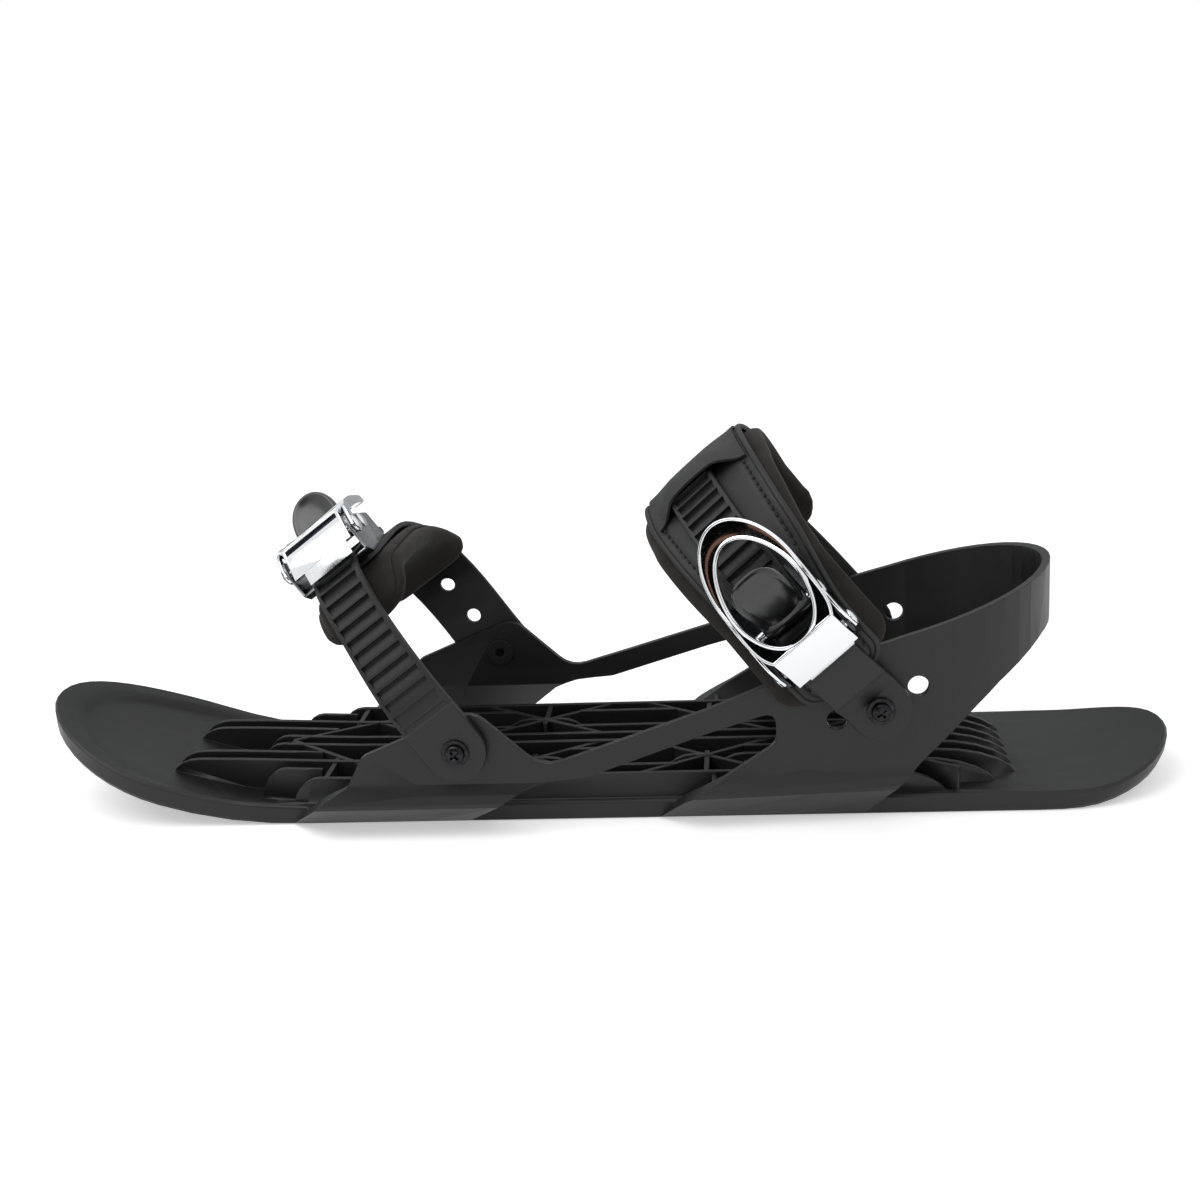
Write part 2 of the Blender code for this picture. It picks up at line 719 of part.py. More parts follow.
def makeToePad():
    arch = Arch(TOE_PIVOT, TOE_LEAN, TOE_PAD_LINE)
    sections = []
    for s in endSpaced(arch.length, 11.0, 18):
        edge = min(s, arch.length - s)
        wide = blend(s, 0, 45, 20.5, 24.0)
        front = wide - 10.5 + 10.5 * quarter(edge, 11.0)
        rear = wide - 16.5 + 16.5 * quarter(s, 17.0) if s < 20 else front
        fill = 0.5 + 0.5 * quarter(edge, 6.0)
        outline = padOutline((front + rear) / 2, 9.5 * fill, fill)
        sections.append((s, [(n + (rear - front) / 2, m) for n, m in outline]))
    return archSolid("toe_pad", arch, sections, foamRubber("toe_pad_foam"))


def makeAnkleStrap():
    ladder = Arch(ANKLE_PIVOT, ANKLE_LEAN, ANKLE_LADDER_LINE)
    item = makeLadder("ankle_ladder_strap", ladder, 19.0, strapPlastic("ankle_ladder_plastic"), 3.6)
    cutHoleY(item, ANKLE_PIVOT, HOLE_RADIUS, -70, -40)
    cover = Arch(ANKLE_PIVOT, ANKLE_LEAN, ANKLE_COVER_LINE)
    coverEnd = cover.nearest(46.6, 65)
    sections = []
    for s in endSpaced(coverEnd, 8.0, 20):
        wide = blend(s, 20, 0.55 * coverEnd, 17.2, 22.0)
        half = wide - 7 + 7 * quarter(min(s, coverEnd - s), 8.0)
        rear = blend(s, 20, 60, 0.0, COVER_REAR) * blend(s, coverEnd - 45, coverEnd - 5, 1.0, 0.0)
        sections.append((s, flatSection(half + rear / 2, -1.2, 0.0, 0.3, rear / 2)))
    archSolid("ankle_pad_cover", cover, sections, coverLeather("ankle_cover_leather"))
    strapLine = [(54.1, -14), (54.1, 0), (54.8, 10), (56.0, 22), (56.0, 32), (54.0, 42), (50.6, 52)]
    for y, h in ((46.6, 65), (42.6, 74.2), (34, 86.6), (22, 96.2), (8, 101.2)):
        place, along, out = cover.at(cover.nearest(y, h))
        strapLine.append(tuple(place - out * 3.3))
    place, along, out = cover.at(cover.nearest(-6, 101.4))
    strapLine.append(tuple(place - out * 3.3))
    far = Arch(ANKLE_PIVOT, ANKLE_LEAN, strapLine)
    sections = []
    for s in (0.0, 1.0, 2.8, 6.0, 10.0, 14.0):
        sections.append((s, flatSection(roundEnd(s, FAR_STRAP_HALF, FAR_STRAP_HALF), -1.8, 0.0)))
    steps = 18
    for k in range(1, steps + 1):
        s = 14.0 + (far.length - 14.0) * k / steps
        sections.append((s, flatSection(FAR_STRAP_HALF, -1.8, 0.0)))
    item = archSolid("ankle_far_strap", far, sections, strapPlastic("ankle_far_strap_plastic"))
    cutHoleY(item, ANKLE_PIVOT, HOLE_RADIUS, 40, 80)
    makeAnkleLiner(cover)
    makeTunnelFlap(cover)


def linerOutline(half, outer, inner):
    thick = outer - inner
    right = [(0.8 * half, outer), (0.93 * half, outer - 0.06 * thick), (half, outer - 0.4 * thick),
             (half, outer - 0.66 * thick), (0.94 * half, outer - 0.94 * thick), (0.8 * half, inner)]
    left = [(-n, m) for n, m in reversed(right)]
    return right + left


def makeAnkleLiner(cover):
    sections = []
    crest = cover.nearest(-5, 101.6)
    for s in endSpaced(cover.length, 12.0, 22):
        edge = min(s, cover.length - s)
        wide = 24.2 + 3.6 * max(0.0, 1 - ((s - crest) / 70) ** 2)
        half = wide - 11 + 11 * quarter(edge, 12.0)
        outer = blend(s, crest - 30, crest - 16, -1.9, -4.2)
        thick = blend(s, 22, 60, 3.0, 6.0)
        fill = 0.5 + 0.5 * quarter(edge, 4.0)
        rear = LINER_REAR * max(0.0, 1 - ((s - crest) / 55) ** 2)
        outline = linerOutline(half + rear / 2, outer, outer - thick * fill)
        sections.append((s, [(n + rear / 2, m) for n, m in outline]))
    archSolid("ankle_pad_liner", cover, sections, foamRubber("ankle_liner_foam"))


def makeTunnelFlap(cover):
    start = cover.nearest(-25, 94.6)
    end = cover.nearest(36, 84.6)
    sections = []
    steps = 14
    for k in range(steps + 1):
        f = k / steps
        s = start + (end - start) * f
        rise = blend(f, 0.26, 0.6, 5.2, 1.2) + 1.8 * (1 - f) ** 4
        under = [(-21.4, 0.3), (-19.0, 0.35 + 0.08 * rise), (-16.4, 0.3 + 0.5 * rise), (-12.8, 0.92 * rise), (-6.4, rise)]
        under += [(-n, m) for n, m in reversed(under)]
        outline = under + [(n, m + 1.0) for n, m in reversed(under)]
        outline = [(n + 1.6, m) for n, m in outline]
        sections.append((s, outline))
    archSolid("ankle_tunnel_flap", cover, sections, coverLeather("ankle_flap_leather"))


# Pivot hardware


def turned(name, profile, place, facing, material, steps=20):
    """A turned piece: (radius, height) points spun about its own axis, which then faces along Y."""
    net = bmesh.new()
    row = [net.verts.new((r * MM, 0.0, z * MM)) for r, z in profile]
    for a, b in zip(row, row[1:]):
        net.edges.new((a, b))
    mesh = bpy.data.meshes.new(name)
    net.to_mesh(mesh)
    net.free()
    item = addObject(name, mesh, PARTS, material)
    spin = item.modifiers.new("turn", "SCREW")
    spin.steps = steps
    spin.render_steps = steps
    spin.use_merge_vertices = True
    spin.merge_threshold = 0.00001
    item.location = Vector(place) * MM
    item.rotation_euler = (radians(-90 * facing), 0.0, 0.0)
    return item


def makePivotHardware(tag, pivot, side, wallInner, strapTop):
    """Screw, cup washer and threaded insert on one pivot. Side is -1 near, 1 far."""
    x, z = pivot
    head = strapTop + GAP + 0.7
    inner = wallInner - GAP
    washer = [(2.6, 0.7), (4.9, 0.7), (5.0, 0.5), (5.0, 0.0), (2.6, 0.0), (2.6, 0.7)]
    turned("%s_washer" % tag, washer, (x, side * (strapTop + GAP), z), side, blackSteel(tag + "_washer_steel"))
    reach = head + GAP - inner + 0.6
    screw = [(0.0, 1.9), (1.6, 1.75), (3.0, 1.2), (3.85, 0.35), (3.85, 0.0), (1.5, 0.0), (1.5, -reach), (0.0, -reach)]
    item = turned("%s_screw" % tag, screw, (x, side * (head + GAP), z), side, blackSteel(tag + "_screw_steel"))
    bakeScrewHead(item, side)
    barrel = strapTop - 0.4 - inner
    nut = [(3.4, barrel), (3.4, 0.0), (5.6, 0.0), (5.6, -0.9), (1.9, -0.9), (1.9, barrel), (3.4, barrel)]
    turned("%s_insert" % tag, nut, (x, side * inner, z), side, blackSteel(tag + "_insert_steel"))


def bakeScrewHead(item, side):
    """Cut the cross recess into the head."""
    bakeModifiers(item)
    net = bmesh.new()
    for angle in (0, 90):
        turn = Matrix.Rotation(radians(angle + 20), 4, "Z")
        box = bmesh.ops.create_cube(net, size=1.0)["verts"]
        bmesh.ops.scale(net, verts=box, vec=(4.2 * MM, (0.9 if angle else 0.86) * MM, (2.4 if angle else 2.3) * MM))
        bmesh.ops.translate(net, verts=box, vec=(0, 0, 2.0 * MM))
        bmesh.ops.transform(net, matrix=turn, verts=box)
    mesh = bpy.data.meshes.new(item.name + "_recess")
    net.to_mesh(mesh)
    net.free()
    cutter = addObject(item.name + "_recess", mesh, CUTTERS)
    cutter.location = item.location
    cutter.rotation_euler = item.rotation_euler
    bpy.context.view_layer.update()
    modifier = addBoolean(item, cutter, "DIFFERENCE")
    modifier.use_self = True
    bakeModifiers(item)
    return item


# Ratchet buckle


class BuckleFrame:
    """The buckle's own axes: t along the strap, m outwards, n across, from the lever pin."""

    def __init__(self, arch, spot):
        self.arch = arch
        y, h, turn, shift, skew, self.stand = spot
        self.origin = Vector((y, h))
        self.along = Vector((cos(radians(turn)), sin(radians(turn))))
        self.out = Vector((-self.along.y, self.along.x))
        self.shift = shift
        self.skew = (cos(radians(skew)), sin(radians(skew)))

    def place(self, t, m, n):
        across = n * self.skew[0] + t * self.skew[1]
        spot = self.origin + self.along * (t * self.skew[0] - n * self.skew[1]) + self.out * m
        return self.arch.world(spot.x, spot.y, across + self.shift)

    def matrix(self, t=0.0, m=0.0, n=0.0):
        """Axes with local X along t, local Y along m and local Z along n."""
        zero = self.place(t, m, n)
        tt = (self.place(t + 1, m, n) - zero).normalized()
        mm = (self.place(t, m + 1, n) - zero).normalized()
        nn = (self.place(t, m, n + 1) - zero).normalized()
        turn = Matrix((tt, mm, nn)).transposed().to_4x4()
        turn.translation = zero
        return turn


def slab(name, matrix, outline, low, high, group, material=None):
    """Extrude a (t, m) outline across n, in the axes given by the matrix."""
    rings = [[Vector((p[0], p[1], n)) * MM for p in outline] for n in (low, high)]
    item = addObject(name, meshFromRings(name, rings), group, material)
    item.matrix_world = matrix
    if group is not PARTS:
        hideCutter(item)
    return item


def circle(t, m, radius, sides=16):
    return [(t + radius * cos(2 * pi * k / sides), m + radius * sin(2 * pi * k / sides)) for k in range(sides)]


def makeBuckleFrame(tag, axes):
    matrix = axes.matrix()
    profile = roundedOutline((
        (-9.4, -9.0, 0.3), (-7.8, -3.4, 0.3), (-7.2, -2.5, 0.2), (-5.2, -2.2, 0.3), (-5.2, 4.6, 5.0), (1.2, 4.85, 2.0),
        (FRAME_LENGTH, -0.6, 1.5), (FRAME_LENGTH, -FRAME_DEPTH, 1.0), (0.6, -FRAME_DEPTH, 1.0), (-4.6, -9.4, 1.0)))
    item = slab(tag + "_buckle_frame", matrix, profile, -FRAME_HALF, FRAME_HALF, PARTS, zincSteel(tag + "_frame_steel"))
    inside = FRAME_HALF - FRAME_SHEET
    base = FRAME_SHEET - FRAME_DEPTH
    channel = [(-12.0, 8.0), (-12.0, -2.7), (-7.6, -2.7), (-6.8, -3.6), (-8.3, -9.7), (-9.0, base),
               (FRAME_LENGTH + 4, base), (FRAME_LENGTH + 4, 8.0)]
    cuts = cutterGroup(tag + "_frame_cuts")
    slab(tag + "_channel", matrix, channel, -inside, inside, cuts)
    for side in (-1, 1):
        corner = [(-12.0, -12.0), (-7.0, -12.0), (-6.0, -6.8), (-12.0, -6.8)]
        low, high = sorted((side * 11.6, side * 20.0))
        slab(tag + "_lip_corner_%d" % side, matrix, corner, low, high, cuts)
    slab(tag + "_pin_hole", matrix, circle(0, 0, PIN_RADIUS + GAP), -20, 20, cuts)
    slab(tag + "_tab_pin_hole", matrix, circle(TAB_PIN[0], TAB_PIN[1], PIN_RADIUS + GAP), -20, 20, cuts)
    for t in (8.0, 23.0):
        hole = axes.matrix(t, -FRAME_DEPTH, 0.0)
        bore = slab(tag + "_rivet_hole_%d" % t, hole, circle(0, 0, 2.3), -3, 3, cuts)
        bore.matrix_world = hole @ Matrix.Rotation(radians(90), 4, "X")
    addBoolean(item, cuts, "DIFFERENCE")
    bakeModifiers(item)
    return shadeSmooth(item, 35)


def leverProfile():
    """Side view of the lever: a flat plate rises to a crisp fold, and the ring falls away behind it."""
    top = [(-6.5, -1.5), (-2.5, 3.4), LEVER_FOLD, (7.0, 8.7), (20.0, 7.8), (34.0, 4.6), (48.0, 1.8), (RING_END, 0.8)]
    bottom = []
    for i, (t, m) in enumerate(top):
        before = Vector(top[max(i - 1, 0)])
        after = Vector(top[min(i + 1, len(top) - 1)])
        along = (after - before).normalized()
        thick = 1.2 if i < 2 else LEVER_THICK
        bottom.append((t + along.y * thick, m - along.x * thick))
    return top + list(reversed(bottom))


def leverOutline():
    """Plan view of the lever as (t, n): a plate, then an egg-shaped ring."""
    shoulder = [(2.8, PLATE_HALF), (4.6, 14.6), (7.0, 15.7), (10.0, 16.1), (14.0, 16.4), (20.0, RING_HALF)]
    middle = 30.0
    rear = RING_END - middle - 0.3
    points = [(-12.0, -PLATE_HALF)] + [(t, -n) for t, n in shoulder]
    for k in range(15):
        angle = radians(-90 + 180 * k / 14)
        points.append((middle + rear * cos(angle), RING_HALF * sin(angle)))
    points += list(reversed(shoulder)) + [(-12.0, PLATE_HALF)]
    return points


def planPrism(name, matrix, outline, low, high, group):
    """Extrude a (t, n) outline along m."""
    rings = [[Vector((t, m, n)) * MM for t, n in outline] for m in (low, high)]
    item = addObject(name, meshFromRings(name, rings), group)
    item.matrix_world = matrix
    return hideCutter(item)


def makeLever(tag, axes):
    matrix = axes.matrix() @ Matrix.Rotation(radians(axes.stand), 4, "Z")
    item = slab(tag + "_lever", matrix, leverProfile(), -22, 22, PARTS, chromePlate(tag + "_lever_chrome"))
    mask = planPrism(tag + "_lever_outline", matrix, leverOutline(), -20, 30, CUTTERS)
    hole = []
    for k in range(24):
        angle = 2 * pi * k / 24
        hole.append((RING_START + 22.2 + 21.8 * cos(angle), RING_HOLE_HALF * sin(angle) * (1 - 0.1 * cos(angle))))
    gap = planPrism(tag + "_lever_hole", matrix, hole, -20, 30, CUTTERS)
    addBoolean(item, mask, "INTERSECT")
    addBoolean(item, gap, "DIFFERENCE")
    lugs = cutterGroup(tag + "_lugs")
    lug = roundedOutline(((-3.6, -3.6, 3.6), (3.6, -3.6, 3.6), (8.0, 5.2, 1.0),
                          (13.4, 6.8, 0), (13.4, 8.0, 0), (8.0, 8.1, 0), (3.6, 6.6, 0), (-3.6, 2.0, 2.5)))
    for side in (-1, 1):
        low, high = sorted((side * (FRAME_HALF + GAP), side * (FRAME_HALF + GAP + 1.1)))
        slab(tag + "_lug_%d" % side, matrix, lug, low, high, lugs)
    addBoolean(item, lugs, "UNION")
    bore = slab(tag + "_lever_bore", matrix, circle(0, 0, PIN_RADIUS + GAP), -20, 20, CUTTERS)
    addBoolean(item, bore, "DIFFERENCE")
    bakeModifiers(item)
    return shadeSmooth(item, 35)


def makePin(name, axes, t, m, reach, head, material):
    """A riveted pin across the buckle with a low domed head at each end."""
    profile = [(0.0, reach + 0.9), (head * 0.7, reach + 0.75), (head, reach + 0.25), (head, reach), (PIN_RADIUS, reach),
               (PIN_RADIUS, -reach), (head, -reach), (head, -reach - 0.25), (head * 0.7, -reach - 0.75), (0.0, -reach - 0.9)]
    item = turned(name, profile, (0, 0, 0), 0, material, 14)
    item.matrix_world = axes.matrix(t, m, 0.0)
    return item


def makeTab(tag, axes):
    """The release tab: a black egg-shaped thumb piece with a pawl tooth under its hub."""
    matrix = axes.matrix(TAB_PIN[0], TAB_PIN[1], 0.0) @ Matrix.Rotation(radians(TAB_LIFT), 4, "Z")
    side = [(-2.8, -2.0), (0.0, -3.2), (3.0, -2.4), (8.0, -1.4), (16.0, -0.9), (TAB_LENGTH, 0.4), (TAB_LENGTH, 1.8),
            (16.0, 2.2), (8.0, 2.6), (3.0, 3.0), (0.0, 3.2), (-2.8, 2.2)]
    item = slab(tag + "_release_tab", matrix, side, -TAB_HALF, TAB_HALF, PARTS, glossPlastic(tag + "_tab_plastic"))
    outline = [(-4.0, -TAB_HALF - 1), (6.0, -TAB_HALF - 1), (6.5, -TAB_HALF)]
    for k in range(13):
        angle = radians(-90 + 180 * k / 12)
        outline.append((12.5 + (TAB_LENGTH - 12.5) * cos(angle), TAB_HALF * sin(angle)))
    outline += [(6.5, TAB_HALF), (6.0, TAB_HALF + 1), (-4.0, TAB_HALF + 1)]
    mask = planPrism(tag + "_tab_outline", matrix, outline, -10, 10, CUTTERS)
    addBoolean(item, mask, "INTERSECT")
    tooth = axes.matrix(TAB_PIN[0], TAB_PIN[1], 0.0)
    hook = slab(tag + "_tab_tooth", tooth, [(-1.8, -1.6), (2.4, -6.4), (4.4, -6.3), (3.2, 0.6), (0.0, 2.0)], -7, 7, CUTTERS)
    addBoolean(item, hook, "UNION")
    bore = slab(tag + "_tab_bore", tooth, circle(0, 0, PIN_RADIUS + GAP), -20, 20, CUTTERS)
    addBoolean(item, bore, "DIFFERENCE")
    bakeModifiers(item)
    return shadeSmooth(item, 35)


def makePawl(tag, axes):
    """The drive pawl on the lever pin, clear of the teeth while the lever is shut."""
    outline = circle(0, 0, 2.6, 12)
    item = slab(tag + "_drive_pawl", axes.matrix(), outline, -7.5, 7.5, PARTS, zincSteel(tag + "_pawl_steel"))
    finger = slab(tag + "_pawl_finger", axes.matrix(), [(-2.2, -1.2), (1.6, -7.0), (2.8, -6.7), (2.6, 0.6), (0.0, 1.8)], -7.2, 7.2, CUTTERS)
    bore = slab(tag + "_pawl_bore", axes.matrix(), circle(0, 0, PIN_RADIUS + GAP), -20, 20, CUTTERS)
    addBoolean(item, finger, "UNION")
    addBoolean(item, bore, "DIFFERENCE")
    bakeModifiers(item)
    return shadeSmooth(item, 35)


def makeTabSpring(tag, axes):
    """A small coil spring round the tab's pin, beside the hub."""
    turns = 3
    steps = 8
    radius = 2.45
    wire = 0.4
    start = TAB_HALF + GAP + wire
    pitch = 0.95
    line = bpy.data.curves.new(tag + "_spring_line", "CURVE")
    line.dimensions = "3D"
    line.bevel_depth = wire * MM
    line.bevel_resolution = 1
    line.use_fill_caps = True
    spline = line.splines.new("POLY")
    count = turns * steps + 1
    spline.points.add(count - 1)
    for k in range(count):
        angle = 2 * pi * k / steps
        spline.points[k].co = (radius * cos(angle) * MM, radius * sin(angle) * MM, (start + pitch * k / steps) * MM, 1.0)
    coil = bpy.data.objects.new(tag + "_spring_curve", line)
    PARTS.objects.link(coil)
    coil.matrix_world = axes.matrix(TAB_PIN[0], TAB_PIN[1], 0.0)
    bpy.context.view_layer.update()
    graph = bpy.context.evaluated_depsgraph_get()
    mesh = bpy.data.meshes.new_from_object(coil.evaluated_get(graph))
    net = bmesh.new()
    net.from_mesh(mesh)
    bmesh.ops.remove_doubles(net, verts=net.verts, dist=1e-6)
    bmesh.ops.recalc_face_normals(net, faces=net.faces)
    net.to_mesh(mesh)
    net.free()
    mesh.materials.clear()
    item = addObject(tag + "_tab_spring", mesh, PARTS, zincSteel(tag + "_spring_steel"))
    item.matrix_world = coil.matrix_world
    bpy.data.objects.remove(coil, do_unlink=True)
    return shadeSmooth(item, 50)


def makeBuckle(tag, pivot, lean, spot, strapDepth):
    axes = BuckleFrame(Arch(pivot, lean, ((0, 0), (0, 1))), spot)
    makeBuckleFrame(tag, axes)
    makeLever(tag, axes)
    reach = FRAME_HALF + GAP + 1.1 + GAP
    makePin(tag + "_lever_pin", axes, 0.0, 0.0, reach, 3.1, zincSteel(tag + "_lever_pin_steel"))
    makePin(tag + "_tab_pin", axes, TAB_PIN[0], TAB_PIN[1], FRAME_HALF + GAP, 3.0, zincSteel(tag + "_tab_pin_steel"))
    makeTab(tag, axes)
    makePawl(tag, axes)
    makeTabSpring(tag, axes)
    for k, t in enumerate((8.0, 23.0)):
        low = -strapDepth
        profile = [(0.0, 0.95), (2.0, 0.95), (2.0, low), (0.0, low)]
        rivet = turned("%s_frame_rivet_%d" % (tag, k + 1), profile, (0, 0, 0), 0, zincSteel("%s_rivet_%d_steel" % (tag, k + 1)), 12)
        rivet.matrix_world = axes.matrix(t, -FRAME_DEPTH, 0.0) @ Matrix.Rotation(radians(-90), 4, "X")


def cutRivetHoles(name, pivot, lean, spot):
    """Open the strap under a buckle for the two rivets that hold it."""
    axes = BuckleFrame(Arch(pivot, lean, ((0, 0), (0, 1))), spot)
    item = bpy.data.objects[name]
    cuts = cutterGroup(name + "_rivet_cuts")
    for t in (8.0, 23.0):
        hole = axes.matrix(t, -FRAME_DEPTH, 0.0)
        bore = slab("%s_rivet_bore_%d" % (name, t), hole, circle(0, 0, 2.3, 12), -8, 8, cuts)
        bore.matrix_world = hole @ Matrix.Rotation(radians(90), 4, "X")
    addBoolean(item, cuts, "DIFFERENCE")
    bakeModifiers(item)
    shadeSmooth(item, 35)


makeSkiBody()
makeToeStrap()
makeToePad()
makeAnkleStrap()
makeBuckle("toe", TOE_PIVOT, TOE_LEAN, TOE_BUCKLE, 2.2)
makeBuckle("ankle", ANKLE_PIVOT, ANKLE_LEAN, ANKLE_BUCKLE, 1.2)
cutRivetHoles("toe_far_strap", TOE_PIVOT, TOE_LEAN, TOE_BUCKLE)
cutRivetHoles("ankle_pad_cover", ANKLE_PIVOT, ANKLE_LEAN, ANKLE_BUCKLE)
makePivotHardware("toe_near", TOE_PIVOT, -1, 59.5, 66.4)
makePivotHardware("toe_far", TOE_PIVOT, 1, 59.5, 65.0)
makePivotHardware("ankle_near", ANKLE_PIVOT, -1, 49.0, 57.7)
makePivotHardware("ankle_far", ANKLE_PIVOT, 1, 49.0, 56.2)
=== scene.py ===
from math import atan2, cos, exp, pi, radians, sin, sqrt

import bmesh
import bpy
from mathutils import Matrix, Vector


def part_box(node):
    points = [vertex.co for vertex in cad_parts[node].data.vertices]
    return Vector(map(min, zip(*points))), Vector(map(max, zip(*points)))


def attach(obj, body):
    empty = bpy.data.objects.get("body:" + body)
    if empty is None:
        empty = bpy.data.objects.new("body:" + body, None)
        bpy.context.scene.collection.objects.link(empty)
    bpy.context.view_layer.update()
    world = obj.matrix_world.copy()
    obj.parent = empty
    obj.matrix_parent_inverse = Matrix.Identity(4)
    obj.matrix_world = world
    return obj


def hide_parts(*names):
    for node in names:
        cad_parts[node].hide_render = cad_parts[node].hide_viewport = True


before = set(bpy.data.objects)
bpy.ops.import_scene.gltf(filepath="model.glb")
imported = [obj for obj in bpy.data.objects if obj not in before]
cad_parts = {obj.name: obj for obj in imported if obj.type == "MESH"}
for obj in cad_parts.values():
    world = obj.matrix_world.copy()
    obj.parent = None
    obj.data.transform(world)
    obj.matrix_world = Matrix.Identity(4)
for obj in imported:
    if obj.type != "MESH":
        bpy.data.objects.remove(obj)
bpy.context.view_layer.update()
mm = 0.001
print("frame loaded:", len(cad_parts), "nodes")


# camera at the photo's viewing angle

cameraSetup = {
    "place": (60.73, -649.75, 243.84),
    "yaw": 4.961,  # turned to the left
    "pitch": 14.785,  # looking down
    "roll": -2.923,
    "lens": 52.5,
    "sensor": 36.0,
}


def makeCamera(setup):
    yaw, pitch, roll = (radians(setup[key]) for key in ("yaw", "pitch", "roll"))
    ahead = Vector((-sin(yaw) * cos(pitch), cos(yaw) * cos(pitch), -sin(pitch)))
    level = Vector((cos(yaw), sin(yaw), 0.0))
    over = level.cross(ahead)
    rightWay = level * cos(roll) + over * sin(roll)
    upWay = over * cos(roll) - level * sin(roll)
    camera = bpy.data.objects.new("camera", bpy.data.cameras.new("camera"))
    bpy.context.scene.collection.objects.link(camera)
    turn = Matrix((rightWay, upWay, -ahead)).transposed().to_4x4()
    turn.translation = Vector(setup["place"]) * mm
    camera.matrix_world = turn
    camera.data.lens = setup["lens"]
    camera.data.sensor_width = setup["sensor"]
    camera.data.clip_start = 0.02
    camera.data.dof.use_dof = False
    bpy.context.scene.camera = camera


makeCamera(cameraSetup)


# small helpers


def toLinear(hexText):
    values = [int(hexText[i:i + 2], 16) / 255 for i in (1, 3, 5)]
    return tuple(v / 12.92 if v <= 0.04045 else ((v + 0.055) / 1.055) ** 2.4 for v in values) + (1.0,)


def addNode(tree, kind, settings=None, links=None):
    node = tree.nodes.new(kind)
    for key, value in (settings or {}).items():
        if key in node.inputs:
            node.inputs[key].default_value = value
        else:
            setattr(node, key, value)
    for key, source in (links or {}).items():
        tree.links.new(source, node.inputs[key])
    return node


def newObject(name, mesh):
    item = bpy.data.objects.new(name, mesh)
    bpy.context.scene.collection.objects.link(item)
    return item


def objectFrom(name, net, turnFaces=True):
    if turnFaces:
        bmesh.ops.recalc_face_normals(net, faces=net.faces)
    mesh = bpy.data.meshes.new(name)
    net.to_mesh(mesh)
    net.free()
    return newObject(name, mesh)


def smoothShade(item, angle=35):
    item.data.shade_smooth()
    item.data.set_sharp_from_angle(angle=radians(angle))
    return item


def gridBody(columns, rows, place):
    net = bmesh.new()
    bmesh.ops.create_grid(net, x_segments=columns, y_segments=rows, size=1.0)
    for v in net.verts:
        v.co = place((v.co.x + 1) / 2, (v.co.y + 1) / 2)
    bmesh.ops.remove_doubles(net, verts=net.verts, dist=1e-4)
    bmesh.ops.recalc_face_normals(net, faces=net.faces)
    return net


def addPart(net, part):
    mesh = bpy.data.meshes.new("part")
    part.to_mesh(mesh)
    part.free()
    net.from_mesh(mesh)
    bpy.data.meshes.remove(mesh)


def addExtruded(net, part, faces, move, edge, segments):
    # the faces pushed out by this move, with every sharp edge rounded
    raised = bmesh.ops.extrude_face_region(part, geom=faces)["geom"]
    bmesh.ops.translate(part, verts=[v for v in raised if isinstance(v, bmesh.types.BMVert)], vec=move)
    bmesh.ops.recalc_face_normals(part, faces=part.faces)
    rims = [e for e in part.edges if e.calc_face_angle(0.0) > radians(24)]
    bmesh.ops.bevel(part, geom=rims, offset=edge, segments=segments, affect="EDGES", profile=0.5, material=-1)
    addPart(net, part)


def addPrism(net, outline, low, high, edge=0.2, segments=2):
    part = bmesh.new()
    face = part.faces.new([part.verts.new((t, m, low)) for t, m in outline])
    addExtruded(net, part, [face], (0, 0, high - low), edge, segments)


def addTurned(net, profile, steps=36):
    part = bmesh.new()
    spots = [part.verts.new((r, 0, z)) for r, z in profile]
    line = spots + [part.edges.new(pair) for pair in zip(spots, spots[1:])]
    bmesh.ops.spin(part, geom=line, axis=(0, 0, 1), cent=(0, 0, 0), angle=2 * pi, steps=steps, use_merge=True)
    bmesh.ops.remove_doubles(part, verts=part.verts, dist=1e-4)
    bmesh.ops.recalc_face_normals(part, faces=part.faces)
    addPart(net, part)


def carry(item, body, node=None):
    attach(item, body)
    if node:
        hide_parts(node)
    return item


def settle(net, name, axes, material, body, node, angle=35):
    bmesh.ops.scale(net, verts=net.verts, vec=(mm, mm, mm))
    bmesh.ops.transform(net, matrix=axes, verts=net.verts)
    item = paint(smoothShade(objectFrom(name, net), angle), material)
    return carry(item, body, node)


def smoothLine(knots, fine):
    knots = [Vector(p) for p in knots]
    line = []
    for i in range(len(knots) - 1):
        a, b, c, d = knots[max(i - 1, 0)], knots[i], knots[i + 1], knots[min(i + 2, len(knots) - 1)]
        for k in range(fine):
            f = k / fine
            line.append(0.5 * ((2 * b) + (c - a) * f + (2 * a - 5 * b + 4 * c - d) * f * f
                               + (3 * b - a - 3 * c + d) * f ** 3))
    return line + [knots[-1]]


def finalMesh(item):
    graph = bpy.context.evaluated_depsgraph_get()
    return bpy.data.meshes.new_from_object(item.evaluated_get(graph))


def applyModifiers(item):
    mesh = finalMesh(item)
    item.modifiers.clear()
    item.data = mesh
    return item


def paint(item, material):
    item.data.materials.clear()
    item.data.materials.append(material)
    return item


def blendTo(x, x0, x1, a, b):
    f = min(max((x - x0) / (x1 - x0), 0.0), 1.0)
    return a + (b - a) * f * f * (3 - 2 * f)


def cornerShare(back, radius):
    # how much of its radius a round corner has drawn in, this far back from the end
    return 1 - sqrt(max(1 - (1 - max(back, 0.0) / radius) ** 2, 0.0)) if back < radius else 0.0


# materials, all on object coordinates in metres, so a scale is one over a real size


